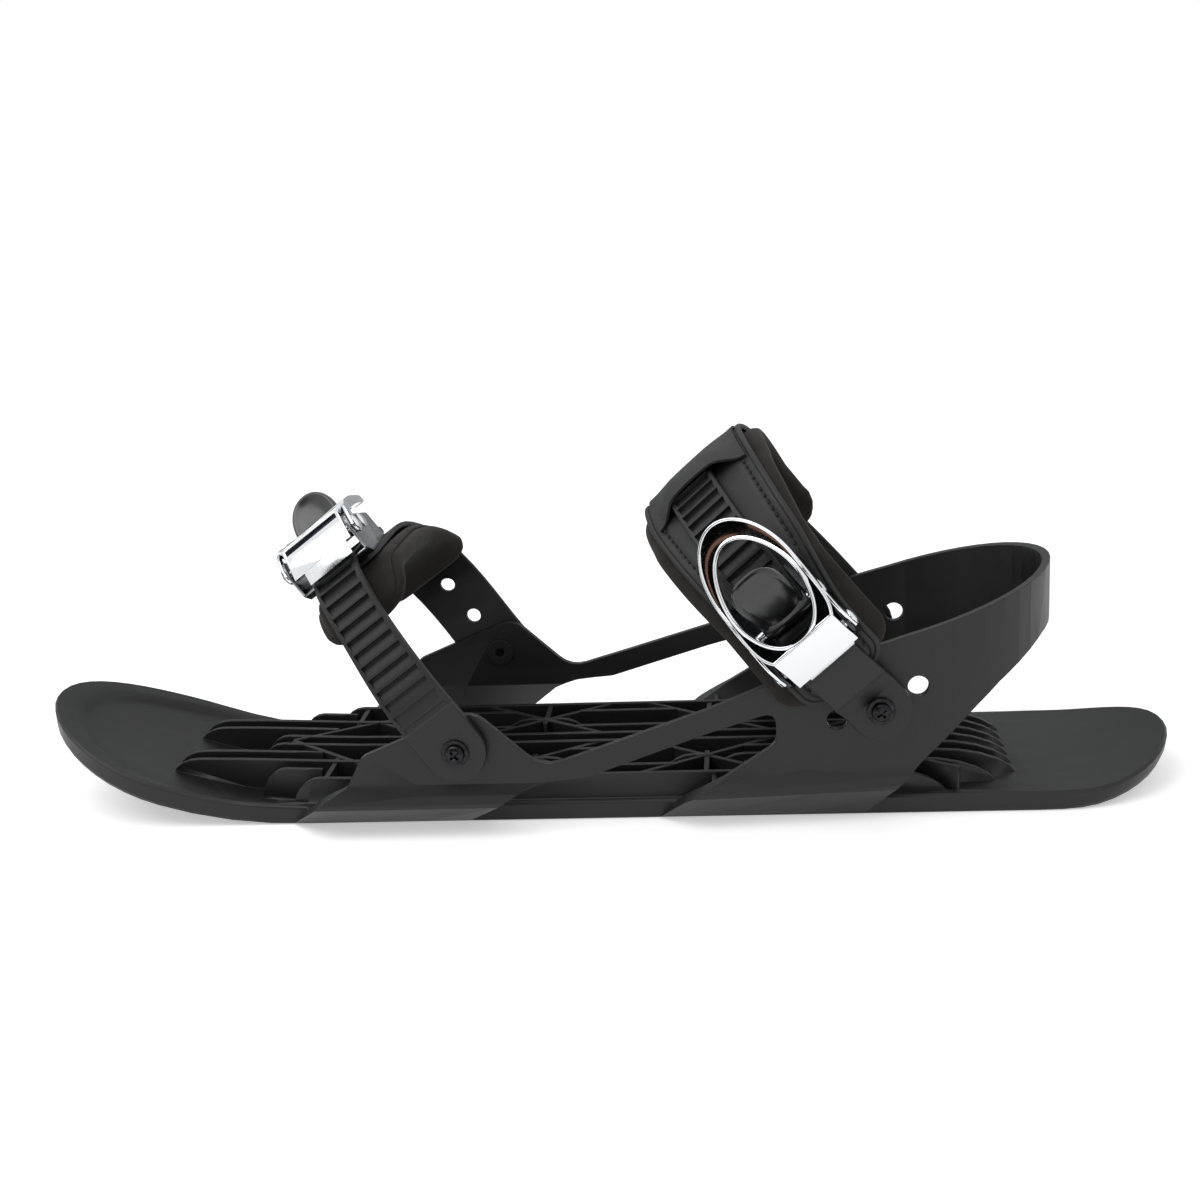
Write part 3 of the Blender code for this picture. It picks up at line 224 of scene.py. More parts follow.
def startMaterial(name, roundEdge=0.0, settings=None):
    material = bpy.data.materials.new(name)
    material.use_nodes = True
    tree = material.node_tree
    shader = tree.nodes["Principled BSDF"]
    for key, value in (settings or {}).items():
        shader.inputs[key].default_value = value
    coords = {"Vector": addNode(tree, "ShaderNodeTexCoord").outputs["Object"]}
    rounded = None
    if roundEdge:  # a moulded edge is never sharp: its radius in mm
        rounded = addNode(tree, "ShaderNodeBevel", {"samples": 6, "Radius": roundEdge * mm}).outputs["Normal"]
    return material, tree, shader, coords, rounded


def varyFinish(tree, shader, pattern, span, colours, roughness):
    # over this span of the pattern, the colour goes from one to the other, and so does the roughness
    if colours:
        ramp = addNode(tree, "ShaderNodeValToRGB", {}, {"Fac": pattern})
        for stop, place, hexText in zip(ramp.color_ramp.elements, span, colours):
            stop.position, stop.color = place, toLinear(hexText)
        tree.links.new(ramp.outputs["Color"], shader.inputs["Base Color"])
    if roughness:
        ends = {"From Min": span[0], "From Max": span[1], "To Min": roughness[0], "To Max": roughness[1]}
        shine = addNode(tree, "ShaderNodeMapRange", ends, {"Value": pattern})
        tree.links.new(shine.outputs[0], shader.inputs["Roughness"])


def finishNormal(tree, shader, height, depth, rounded, strength=1.0):
    # relief of this depth in mm
    links = {"Height": height}
    if rounded:
        links["Normal"] = rounded
    bump = addNode(tree, "ShaderNodeBump", {"Strength": strength, "Distance": depth * mm}, links)
    tree.links.new(bump.outputs["Normal"], shader.inputs["Normal"])


def blackNylon(name):
    # glass-filled nylon, injection moulded: satin black with a fine spark-eroded grain and faint flow marks
    material, tree, shader, coords, rounded = startMaterial(name, 0.5, {"Specular IOR Level": 0.42})
    flow = addNode(tree, "ShaderNodeMapping", {"Scale": (0.25, 1.0, 1.0)}, coords)
    marks = addNode(tree, "ShaderNodeTexNoise", {"Scale": 1000 / 16, "Detail": 4.0}, {"Vector": flow.outputs[0]})
    varyFinish(tree, shader, marks.outputs["Fac"], (0.3, 0.75), ("#131313", "#1b1b1b"), (0.4, 0.5))
    grain = addNode(tree, "ShaderNodeTexNoise", {"Scale": 1000 / 0.45, "Detail": 2.0}, coords)
    finishNormal(tree, shader, grain.outputs["Fac"], 0.012, rounded)
    return material


def strapNylon(name):
    # softer nylon of the ladder straps, moulded: even black, a little duller than the ski
    material, tree, shader, coords, rounded = startMaterial(name, 0.35, {"Specular IOR Level": 0.42})
    cloud = addNode(tree, "ShaderNodeTexNoise", {"Scale": 1000 / 9, "Detail": 3.0}, coords)
    varyFinish(tree, shader, cloud.outputs["Fac"], (0.3, 0.7), ("#151515", "#1c1c1c"), (0.42, 0.52))
    grain = addNode(tree, "ShaderNodeTexNoise", {"Scale": 1000 / 0.4, "Detail": 2.0}, coords)
    finishNormal(tree, shader, grain.outputs["Fac"], 0.01, rounded)
    return material


def foamRubber(name):
    # closed-cell EVA foam, cut and rolled: brown-black and dull, with cells of about 0.5 mm
    dull = {"Roughness": 0.9, "Specular IOR Level": 0.35, "Sheen Weight": 0.06}
    material, tree, shader, coords, rounded = startMaterial(name, 0.0, dull)
    cloud = addNode(tree, "ShaderNodeTexNoise", {"Scale": 1000 / 7, "Detail": 5.0}, coords)
    varyFinish(tree, shader, cloud.outputs["Fac"], (0.3, 0.72), ("#191614", "#262220"), None)
    cells = addNode(tree, "ShaderNodeTexVoronoi", {"Scale": 1000 / 0.55}, coords)
    finishNormal(tree, shader, cells.outputs["Distance"], 0.05, rounded, 0.7)
    return material


def imitationLeather(name):
    # PVC-coated fabric, embossed: soft black with a fine pebble of about 0.8 mm
    material, tree, shader, coords, rounded = startMaterial(name, 0.3, {"Specular IOR Level": 0.42})
    cloud = addNode(tree, "ShaderNodeTexNoise", {"Scale": 1000 / 11, "Detail": 4.0}, coords)
    varyFinish(tree, shader, cloud.outputs["Fac"], (0.3, 0.7), ("#191919", "#212121"), (0.48, 0.62))
    pebble = addNode(tree, "ShaderNodeTexVoronoi", {"feature": "SMOOTH_F1", "Scale": 1000 / 0.8}, coords)
    finishNormal(tree, shader, pebble.outputs["Distance"], 0.02, rounded, 0.6)
    return material


def chromePlate(name):
    # zinc die casting, polished and chrome plated: a clean mirror with a trace of casting waviness
    mirror = {"Base Color": toLinear("#e4e6e8"), "Metallic": 1.0}
    material, tree, shader, coords, rounded = startMaterial(name, 0.0, mirror)
    wipe = addNode(tree, "ShaderNodeTexNoise", {"Scale": 1000 / 5, "Detail": 3.0}, coords)
    varyFinish(tree, shader, wipe.outputs["Fac"], (0.35, 0.8), None, (0.04, 0.09))
    wave = addNode(tree, "ShaderNodeTexNoise", {"Scale": 1000 / 9, "Detail": 0.0}, coords)
    finishNormal(tree, shader, wave.outputs["Fac"], 0.005, rounded, 0.5)
    return material


def nickelSheet(name, dark, light):
    # pressed steel sheet, nickel plated: a darker, softer mirror with drawing lines about 0.3 mm apart
    material, tree, shader, coords, rounded = startMaterial(name, 0.0, {"Metallic": 1.0})
    cloud = addNode(tree, "ShaderNodeTexNoise", {"Scale": 1000 / 4, "Detail": 3.0}, coords)
    varyFinish(tree, shader, cloud.outputs["Fac"], (0.3, 0.7), (dark, light), None)
    lines = addNode(tree, "ShaderNodeMapping", {"Scale": (1.0, 0.08, 1.0)}, coords)
    drawn = addNode(tree, "ShaderNodeTexNoise", {"Scale": 1000 / 0.3, "Detail": 2.0}, {"Vector": lines.outputs[0]})
    varyFinish(tree, shader, drawn.outputs["Fac"], (0.3, 0.7), None, (0.16, 0.28))
    finishNormal(tree, shader, drawn.outputs["Fac"], 0.003, rounded, 0.5)
    return material


def blackScrewSteel(name):
    # steel screws, black zinc plated: dark grey metal with a soft shine, brighter where a tool has rubbed
    material, tree, shader, coords, rounded = startMaterial(name, 0.0, {"Metallic": 1.0})
    wear = addNode(tree, "ShaderNodeTexNoise", {"Scale": 1000 / 1.6, "Detail": 4.0}, coords)
    varyFinish(tree, shader, wear.outputs["Fac"], (0.4, 0.75), ("#262627", "#3a3a3c"), None)
    varyFinish(tree, shader, wear.outputs["Fac"], (0.3, 0.75), None, (0.22, 0.4))
    finishNormal(tree, shader, wear.outputs["Fac"], 0.003, rounded, 0.5)
    return material


def glossAbs(name):
    # ABS release tabs, moulded in a polished tool: deep black with a clear shine and hairline wear
    material, tree, shader, coords, rounded = startMaterial(name, 0.0, {"Coat Weight": 0.5, "Coat Roughness": 0.35})
    cloud = addNode(tree, "ShaderNodeTexNoise", {"Scale": 1000 / 6, "Detail": 5.0}, coords)
    varyFinish(tree, shader, cloud.outputs["Fac"], (0.3, 0.7), ("#101010", "#171717"), (0.16, 0.27))
    finishNormal(tree, shader, cloud.outputs["Fac"], 0.05, rounded, 0.5)
    return material


def blackThread(name):
    # bonded polyester thread, twisted: a dull black cord with a ply of about 0.5 mm, painted darker down in the ply's
    # grooves as their shade
    material, tree, shader, coords, rounded = startMaterial(name, 0.0, {"Roughness": 0.7})
    ply = {"bands_direction": "DIAGONAL", "Scale": 1000 / 3.2}
    twistWithShade = addNode(tree, "ShaderNodeTexWave", ply, coords)
    # dark where the ply's relief is low: painted shade in its grooves
    varyFinish(tree, shader, twistWithShade.outputs["Fac"], (0.2, 0.8), ("#080808", "#1c1c1c"), None)
    finishNormal(tree, shader, twistWithShade.outputs["Fac"], 0.08, rounded, 0.8)
    return material


# finish of the carried-over nodes, and smooth copies of those whose curved faces show

smoothing = {
    "skiSharp": 20.0, "strapSharp": 27.0,  # edges over this many degrees stay sharp
    "loopFrom": 185.0, "loopUpright": 8.0,  # where the heel loop's coarse bend starts, and its least upright edge
}


def smoothCopy(node, body, material, angle, bendFrom=None):
    # the node's own shape, with its facets joined so that curved faces shade as one, led by the larger faces
    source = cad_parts[node]
    net = bmesh.new()
    net.from_mesh(source.data)
    net.transform(source.matrix_world)
    bmesh.ops.remove_doubles(net, verts=net.verts, dist=2e-6)
    item = paint(smoothShade(objectFrom(node + "Smooth", net, False), angle), material)
    mesh = item.data
    if bendFrom:  # the bend behind this x is coarse, so its upright edges never count as sharp
        for edge in mesh.edges:
            a, b = (mesh.vertices[k].co / mm for k in edge.vertices)
            if min(a.x, b.x) > bendFrom and abs(a.z - b.z) > smoothing["loopUpright"]:
                edge.use_edge_sharp = False
    joined = item.modifiers.new("largeFacesLead", "WEIGHTED_NORMAL")
    joined.mode, joined.weight, joined.keep_sharp = "FACE_AREA_WITH_ANGLE", 80, True
    carry(applyModifiers(item), body, node)


def dressNodes():
    # darker nickel for the springs, rivets and pawls: painted shade for their place inside the buckles
    shadedInsideNickel = nickelSheet("pawlNickel", "#5b5d61", "#6d6f73")
    finishes = (("washer", blackScrewSteel("washerSteel")), ("insert", blackNylon("insertNylon")), ("spring", shadedInsideNickel),
                ("rivet", shadedInsideNickel), ("pawl", shadedInsideNickel))
    for key, material in finishes:
        for name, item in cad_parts.items():
            if key in name:
                paint(item, material)
    ski = blackNylon("skiNylon")
    smoothCopy("ski_body", "ski", ski, smoothing["skiSharp"], smoothing["loopFrom"])
    strap = strapNylon("farStrapNylon")
    for tag in ("toe", "ankle"):
        smoothCopy(tag + "_far_strap", tag + "_strap", strap, smoothing["strapSharp"])
    print("ski, far straps and hardware given their finish")


dressNodes()


# the straps and pads follow an arch in a plane that leans forward about its pivot: y across the ski, h up the plane

toePlane = {"pivot": (-44.5, 34.3), "lean": 36.0}
anklePlane = {"pivot": (106.8, 43.5), "lean": 41.0}
toeArch = {
    **toePlane,
    "line": ((-46, 51.5), (-44.5, 56), (-41.2, 61.2), (-36.3, 65.8), (-29, 69.0), (-18, 69.6), (0, 69.4),
             (13.8, 68.6), (27.8, 66.0), (39.5, 61.2), (49, 54.6), (54.0, 49.6), (56.6, 45.6)),
}
ankleArch = {
    **anklePlane,
    "line": ((-60.6, 16.5), (-62.1, 20.5), (-63.1, 25.5), (-62.9, 30.3), (-58.2, 45), (-53.1, 60.7), (-46.4, 74),
             (-36, 85.9), (-22, 96.2), (-5, 101.6), (8, 101.2), (22, 96.2), (34, 86.6), (42.6, 74.2), (47.6, 61.5),
             (50.2, 49.5)),
}


def leanWays(lean):
    # up a leaning plane, and square out of it
    lean = radians(lean)
    return Vector((-sin(lean), 0.0, cos(lean))), Vector((cos(lean), 0.0, sin(lean)))


def layArch(arch, fine=12):
    fineLine = smoothLine(arch["line"], fine)
    marks = [0.0]
    for a, b in zip(fineLine, fineLine[1:]):
        marks.append(marks[-1] + (b - a).length)
    arch["fine"] = fineLine
    arch["marks"] = marks
    arch["length"] = marks[-1]
    arch["up"], arch["across"] = leanWays(arch["lean"])
    return arch


def archPoint(arch, s, m, n):
    s = min(max(s, 0.0), arch["length"])
    marks, fineLine = arch["marks"], arch["fine"]
    i = min(int(s / arch["length"] * (len(marks) - 1)), len(marks) - 2)
    while i > 0 and marks[i] > s:
        i -= 1
    while i < len(marks) - 2 and marks[i + 1] < s:
        i += 1
    f = (s - marks[i]) / (marks[i + 1] - marks[i])
    place = fineLine[i].lerp(fineLine[i + 1], f)
    start = (fineLine[i + 1] - fineLine[max(i - 1, 0)]).normalized()
    stop = (fineLine[min(i + 2, len(fineLine) - 1)] - fineLine[i]).normalized()
    along = start.lerp(stop, f).normalized()
    spot = place + Vector((-along.y, along.x)) * m
    base = Vector((arch["pivot"][0], spot.x, arch["pivot"][1]))
    return (base + arch["up"] * spot.y + arch["across"] * n) * mm


def nearestMark(arch, y, h):
    target = Vector((y, h))
    best = min(range(len(arch["fine"])), key=lambda i: (arch["fine"][i] - target).length)
    return arch["marks"][best]


layArch(toeArch)
layArch(ankleArch)


def layOnArch(item, arch):
    net = bmesh.new()
    net.from_mesh(item.data)
    for v in net.verts:
        v.co = archPoint(arch, v.co.x / mm, v.co.z / mm, v.co.y / mm)
    bmesh.ops.recalc_face_normals(net, faces=net.faces)
    net.to_mesh(item.data)
    net.free()
    return item


# ladder straps, with a thick smooth root, then narrow grooves between flat teeth

ladders = {
    "toe": {
        **toePlane, "plain": 2.5,  # smooth length between the root and the first tooth
        "line": ((-62.8, -11), (-62.8, 0), (-62.8, 10), (-62.9, 20), (-61.6, 29), (-58.2, 40), (-53.2, 52),
                 (-47.8, 62.5), (-42.8, 70.0), (-38.8, 73.2), (-34.5, 74.1), (-29, 74.1), (-15, 74.1), (-4, 74.1),
                 (6, 73.6), (14, 72.6)),
    },
    "ankle": {
        **anklePlane, "plain": 19.0,
        "line": ((-53.9, -11), (-53.9, 0), (-54.0, 6), (-57.4, 10.8), (-61.6, 15.8), (-64.2, 22), (-64.9, 28.5),
                 (-64.1, 31.6), (-59.8, 45), (-54.7, 60.7), (-47.6, 74.5), (-36.6, 86.8), (-22.3, 96.9),
                 (-15.5, 99.7)),
    },
}
ladderShape = {
    "half": 11.2, "endHalf": 9.8, "narrowTo": 75.0,  # half width at the root and at the end
    "thick": 2.8, "rootThick": 3.6, "corner": 0.35, "endRound": 5.0, "endPlain": 2.5,
    "step": 26.2, "stepFrom": 26.0, "stepTo": 26.6,  # the thick root ends in a small step
    "rootMarks": (14.0, 17.0, 20.0, 23.0),
    "pitch": 5.2, "depth": 1.6, "firstDepths": (0.25, 0.55, 0.85, 1.0),
    "rail": 1.3, "railMore": 0.9, "pocketSlope": 0.25,  # the side rail widens along each tooth's ramp
    "tooth": ((0.0, 0.0), (0.22, 1.0), (0.5, 1.0), (1.7, 0.66), (3.0, 0.3), (4.1, 0.06),
              (4.7, 0.0)),  # back from its wall, and share of the depth
}


def ladderHalf(shape, s, length):
    wide = blendTo(s, shape["step"], shape["narrowTo"], shape["half"], shape["endHalf"])
    if s < shape["half"]:
        wide = max(sqrt(max(shape["half"] ** 2 - (shape["half"] - s) ** 2, 0.0)), 0.1)
    return wide - shape["endRound"] * cornerShare(length - s, shape["endRound"])


def ladderStations(shape, first, length):
    # places along the strap as (s, depth, rail), a few through each tooth
    plain = (0.0, shape["rail"])
    stations = [(shape["half"] * (1 - cos(pi / 2 * k / 12)), *plain) for k in range(12)]
    stations += [(s, *plain) for s in (shape["half"], *shape["rootMarks"], shape["stepFrom"], shape["stepTo"])]
    wall = first
    k = 0
    while wall < length - shape["endPlain"]:
        full = shape["depth"] * shape["firstDepths"][min(k, 3)]
        for back, share in reversed(shape["tooth"]):
            if wall - back > stations[-1][0] + 0.1:
                rail = shape["rail"] + shape["railMore"] * back / shape["pitch"]
                stations.append((wall - back, full * share, rail))
        wall += shape["pitch"]
        k += 1
    last = stations[-1][0]
    return stations + [(last + (length - last) * sin(pi / 2 * k / 6), *plain) for k in range(1, 7)]


def makeLadderStrap(tag, shape, material):
    arch = layArch(ladders[tag])
    length = arch["length"]
    stations = ladderStations(shape, shape["step"] + ladders[tag]["plain"], length)
    middle = 6  # strips across a groove's floor

    def place(fx, fy):
        s, depth, rail = stations[round(fx * (len(stations) - 1))]
        half = ladderHalf(shape, s, length)
        thick = blendTo(s, shape["stepFrom"], shape["stepTo"], shape["rootThick"], shape["thick"])
        corner = min(shape["corner"], half * 0.3)
        pocket = half - min(rail, half * 0.5)
        section = [(half - corner, 0.0), (half, corner), (half, thick - corner), (half - corner, thick),
                   (pocket, thick)]
        low = [(pocket - min(shape["pocketSlope"], half * 0.1), thick - depth)]
        across = [(low[0][0] * (1 - 2 * k / middle), low[0][1]) for k in range(1, middle)]
        ring = section + low + across + [(-n, m) for n, m in reversed(section + low)]
        n, m = ring[round(fy * len(ring)) % len(ring)]
        return archPoint(arch, s, m, n) / mm

    net = gridBody(len(stations) - 1, 12 + middle - 1, place)
    bmesh.ops.holes_fill(net, edges=[e for e in net.edges if e.is_boundary])
    node = tag + "_ladder_strap"
    settle(net, tag + "Ladder", Matrix.Identity(4), material, tag + "_strap", node, 24)


def makeLadders():
    nylon = strapNylon("ladderNylon")
    for tag in ladders:
        makeLadderStrap(tag, ladderShape, nylon)
    print("ladder straps made")


makeLadders()


# pan head screws with a cross recess

screwShape = {
    "head": ((0.0, 0.0), (1.9, -0.03), (2.6, -0.2), (3.1, -0.55), (3.42, -1.1), (3.5, -1.7), (3.4, -2.0),
             (2.0, -2.0)),
    "shaft": 2.0, "tip": 0.3, "arm": 1.95, "armHalf": 0.5, "depth": 1.3, "turn": 42.0,
}


def makeScrew(spot, shape, material):
    node = spot + "_screw"
    low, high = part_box(node)
    side = -1 if "near" in spot else 1
    top = low.y if side < 0 else high.y
    centre = ((low.x + high.x) / 2, top, (low.z + high.z) / 2)
    axes = Matrix.Translation(centre) @ Matrix.Rotation(-side * pi / 2, 4, "X")
    length = (high.y - low.y) / mm
    shaft, tip = shape["shaft"], shape["tip"]
    net = bmesh.new()
    addTurned(net, [*shape["head"], (shaft, -length + tip), (shaft - tip, -length), (0.0, -length)], 48)
    item = settle(net, spot + "Screw", axes, material, "ski", node, 30)
    arm, half = shape["arm"], shape["armHalf"]
    corner = [(arm, -half), (arm, half), (half, half)]
    turn = radians(shape["turn"])
    outline = [Matrix.Rotation(pi / 2 * k + turn, 2) @ Vector(point) for k in range(4) for point in corner]
    cross = bmesh.new()
    addPrism(cross, outline, -shape["depth"], 1.0, 0.08, 1)
    bmesh.ops.scale(cross, verts=cross.verts, vec=(mm, mm, mm))
    bmesh.ops.transform(cross, matrix=axes, verts=cross.verts)
    cutter = objectFrom(spot + "Cross", cross)
    recess = item.modifiers.new("crossRecess", "BOOLEAN")
    recess.operation, recess.object, recess.solver = "DIFFERENCE", cutter, "EXACT"
    applyModifiers(item)
    bpy.data.objects.remove(cutter)


def makeScrews():
    steel = blackScrewSteel("screwSteel")
    for spot in ("toe_near", "toe_far", "ankle_near", "ankle_far"):
        makeScrew(spot, screwShape, steel)
    print("screws made")


makeScrews()


# foam pads: a flat block is puffed up by cloth pressure, then laid along its arch


def flatBlock(name, shape, length, half, low, high):
    net = bmesh.new()
    bmesh.ops.create_cube(net, size=1.0)
    bmesh.ops.scale(net, verts=net.verts, vec=(length * mm, 2 * half * mm, (high - low) * mm))
    bmesh.ops.translate(net, verts=net.verts, vec=(length * mm / 2, 0, (low + high) * mm / 2))
    uprights = [e for e in net.edges if abs(e.verts[0].co.z - e.verts[1].co.z) > 0.5 * (high - low) * mm]
    corner, edge = shape["corner"] * mm, shape["edge"] * mm
    bmesh.ops.bevel(net, geom=uprights, offset=corner, segments=8, affect="EDGES", profile=0.5, material=-1)
    rims = [e for e in net.edges if abs(e.verts[0].co.z - e.verts[1].co.z) < 1e-7 and e.calc_face_angle(0.0) > 1.0]
    bmesh.ops.bevel(net, geom=rims, offset=edge, segments=4, affect="EDGES", profile=0.5, material=-1)
    return objectFrom(name, net)


def puffUp(item, shape):
    remesh = item.modifiers.new("even", "REMESH")
    remesh.mode = "VOXEL"
    remesh.voxel_size = shape["voxel"] * mm
    applyModifiers(item)
    before = [v.co.copy() for v in item.data.vertices]
    cloth = item.modifiers.new("cloth", "CLOTH")
    cloth.settings.use_pressure = True
    cloth.settings.uniform_pressure_force = shape["pressure"]
    cloth.settings.effector_weights.gravity = 0.0
    for number in range(1, 21):
        bpy.context.scene.frame_set(number)
    applyModifiers(item)
    cap = shape["cap"] * mm  # the most that any point may move
    for v, start in zip(item.data.vertices, before):
        step = v.co - start
        if step.length > cap:
            v.co = start + step.normalized() * cap
    bpy.context.scene.frame_set(1)


def startPad(name, shape, length, half, low, high):
    item = flatBlock(name, shape, length, half, low, high)
    puffUp(item, shape)
    soft = item.modifiers.new("soft", "SUBSURF")
    soft.levels = soft.render_levels = 1
    return applyModifiers(item)


def finishPad(item, arch, body, node, foam):
    layOnArch(item, arch)
    paint(smoothShade(item, 60), foamRubber(foam))
    carry(item, body, node)


toePadShape = {
    "halfStart": 19.6, "halfEnd": 23.2,  # half width at the near and far ends
    "thick": 9.0,
    "corner": 10.0, "edge": 2.6,
    "topLayer": 3.0,  # the strap-side layer, narrower than the foam roll under it
    "topInset": 2.6,
    "seamDepth": 1.1, "seamWidth": 0.8,
    "sideFrom": 0.3,  # share of the corner radius where the sides begin to draw in
    "wideFrom": 45.0,  # where the full width starts
    "nearRound": 18.0, "nearCut": 9.0,  # the heel side of the near end is rounded more
    "voxel": 2.2, "pressure": 4.0, "cap": 0.7,
    "sideRoom": 0.8, "skinRoom": 0.5,  # left free for the puffing
}


def makeToePad(shape):
    length, room, skin = toeArch["length"], shape["sideRoom"], shape["skinRoom"]
    half = shape["halfEnd"] - room
    item = startPad("toePadFoam", shape, length - 2 * room, half, skin - shape["thick"], -skin)
    centre = length / 2
    core = shape["corner"]
    for v in item.data.vertices:
        s, n, m = v.co.x / mm + room, v.co.y / mm, v.co.z / mm
        qs = max(abs(s - centre) - (centre - core), 0.0)
        qn = max(abs(n) - (half - core), 0.0)
        reach = sqrt(qs * qs + qn * qn)
        if reach > shape["sideFrom"] * core:
            share = min((reach / core - shape["sideFrom"]) / (1 - shape["sideFrom"]), 1.0)
            upper = blendTo(m, -shape["topLayer"] - 0.4, -shape["topLayer"] + 0.4, 0.0, shape["topInset"])
            groove = shape["seamDepth"] * exp(-((m + shape["topLayer"]) / shape["seamWidth"]) ** 2)
            pull = (upper + groove) * share
            s -= pull * qs / reach * (1 if s > centre else -1)
            n -= pull * qn / reach * (1 if n > 0 else -1)
        n *= blendTo(s, 0, shape["wideFrom"], shape["halfStart"] / shape["halfEnd"], 1.0)
        if n > 0:
            n -= shape["nearCut"] * cornerShare(s, shape["nearRound"]) * n / shape["halfStart"]
        v.co = Vector((s, n, m)) * mm
    finishPad(item, toeArch, "toe_strap", "toe_pad", "toePadEvaFoam")


makeToePad(toePadShape)
print("toe pad made")


linerShape = {
    "half": 24.2,  # half width at the ends
    "belly": 3.6, "bellyReach": 70.0,  # how much wider it is at the crest
    "rear": 3.0, "rearReach": 55.0,  # how much further it reaches towards the heel at the crest
    "startThick": 3.2, "thick": 6.0, "thickFrom": 22.0, "thickTo": 60.0,
    "outerLow": -1.9, "outerFar": -4.2, "dropFrom": -30.0, "dropTo": -16.0,  # under the arch, and where it drops
    "corner": 11.0, "edge": 1.4,
    "voxel": 2.0, "pressure": 3.0, "cap": 0.35, "endRoom": 0.4,
}


def makeAnkleLiner(shape):
    length = ankleArch["length"]
    crest = nearestMark(ankleArch, -5, 101.6)
    thick, room = shape["thick"], shape["endRoom"]
    item = startPad("anklePadLiner", shape, length - 2 * room, shape["half"], -thick, 0.0)
    for v in item.data.vertices:
        s, n, m = v.co.x / mm + room, v.co.y / mm, v.co.z / mm
        n *= 1 + shape["belly"] / shape["half"] * max(0.0, 1 - ((s - crest) / shape["bellyReach"]) ** 2)
        rear = shape["rear"] * max(0.0, 1 - ((s - crest) / shape["rearReach"]) ** 2)
        n += rear * (n / shape["half"] + 1) / 2
        outer = blendTo(s - crest, shape["dropFrom"], shape["dropTo"], shape["outerLow"], shape["outerFar"])
        m = outer + m * blendTo(s, shape["thickFrom"], shape["thickTo"], shape["startThick"], thick) / thick
        v.co = Vector((s, n, m)) * mm
    finishPad(item, ankleArch, "ankle_strap", "ankle_pad_liner", "ankleLinerEvaFoam")


makeAnkleLiner(linerShape)
print("ankle liner made")


# leather cover of the ankle pad, with piping round its edge and a stitched seam inside it

coverShape = {
    "halfStart": 16.8, "half": 21.4, "wideFrom": 20.0, "wideBy": 0.55,
    "rear": 3.8, "rearRise": (20.0, 60.0), "rearFall": (45.0, 5.0),  # further towards the heel at the crest
    "thick": 1.2, "corner": 7.5, "endGap": 0.6, "sideGap": 0.5, "swell": 0.25,
    "piping": 1.25, "pipingLow": 0.7, "pipingIn": 0.2, "pipingEnd": 0.3,
    "seamInset": 3.4, "seamDepth": 0.6, "seamWidth": 0.7,
    "stitch": 2.2, "gap": 0.9, "thread": 0.4, "stitchEnd": 6.0,
}


def coverHalf(shape, s, length, side):
    wide = blendTo(s, shape["wideFrom"], shape["wideBy"] * length, shape["halfStart"], shape["half"])
    wide -= shape["corner"] * cornerShare(min(s, length - s), shape["corner"])
    if side > 0:
        start, stop = shape["rearFall"]
        wide += shape["rear"] * blendTo(s, *shape["rearRise"], 0.0, 1.0) * blendTo(length - s, stop, start, 0.0, 1.0)
    return wide


def closedTube(name, points, radius):
    line = bpy.data.curves.new(name, "CURVE")
    line.dimensions = "3D"
    line.bevel_depth = radius * mm
    line.bevel_resolution = 3
    spline = line.splines.new("POLY")
    spline.points.add(len(points) - 1)
    for place, point in zip(spline.points, points):
        place.co = (*point, 1.0)
    spline.use_cyclic_u = True
    holder = newObject(name + "Line", line)
    net = bmesh.new()
    net.from_mesh(finalMesh(holder))
    bpy.data.objects.remove(holder, do_unlink=True)
    bmesh.ops.remove_doubles(net, verts=net.verts, dist=1e-7)
    return objectFrom(name, net)


def stitchRow(name, points, outs, shape, material):
    net = bmesh.new()
    travelled = 0.0
    pitch, thread = shape["stitch"] + shape["gap"], shape["thread"] * mm
    wanted = pitch / 2
    for a, b, out in zip(points, points[1:], outs):
        run = (b - a).length / mm
        while wanted <= travelled + run:
            spot = a.lerp(b, (wanted - travelled) / run)
            along = (b - a).normalized()
            side = out.cross(along).normalized()
            turn = Matrix((along, side, out)).transposed().to_4x4()
            turn.translation = spot
            bead = bmesh.ops.create_uvsphere(net, u_segments=8, v_segments=6, radius=1.0)["verts"]
            bmesh.ops.scale(net, verts=bead, vec=(shape["stitch"] / 2 * mm, thread, thread))
            bmesh.ops.transform(net, matrix=turn, verts=bead)
            wanted += pitch
        travelled += run
    return paint(smoothShade(objectFrom(name, net), 60), material)


def addWall(item, arch, s, m, thick):
    # thickness on the arch's outer side, whichever way the sheet's faces point
    outward = archPoint(arch, s, 1.0, 0.0) - archPoint(arch, s, 0.0, 0.0)
    middle = min(item.data.polygons, key=lambda face: (face.center - archPoint(arch, s, m, 0.0)).length)
    wall = item.modifiers.new("wall", "SOLIDIFY")
    wall.thickness = thick * mm
    wall.offset = 1.0 if middle.normal.dot(outward) > 0 else -1.0
    return applyModifiers(item)


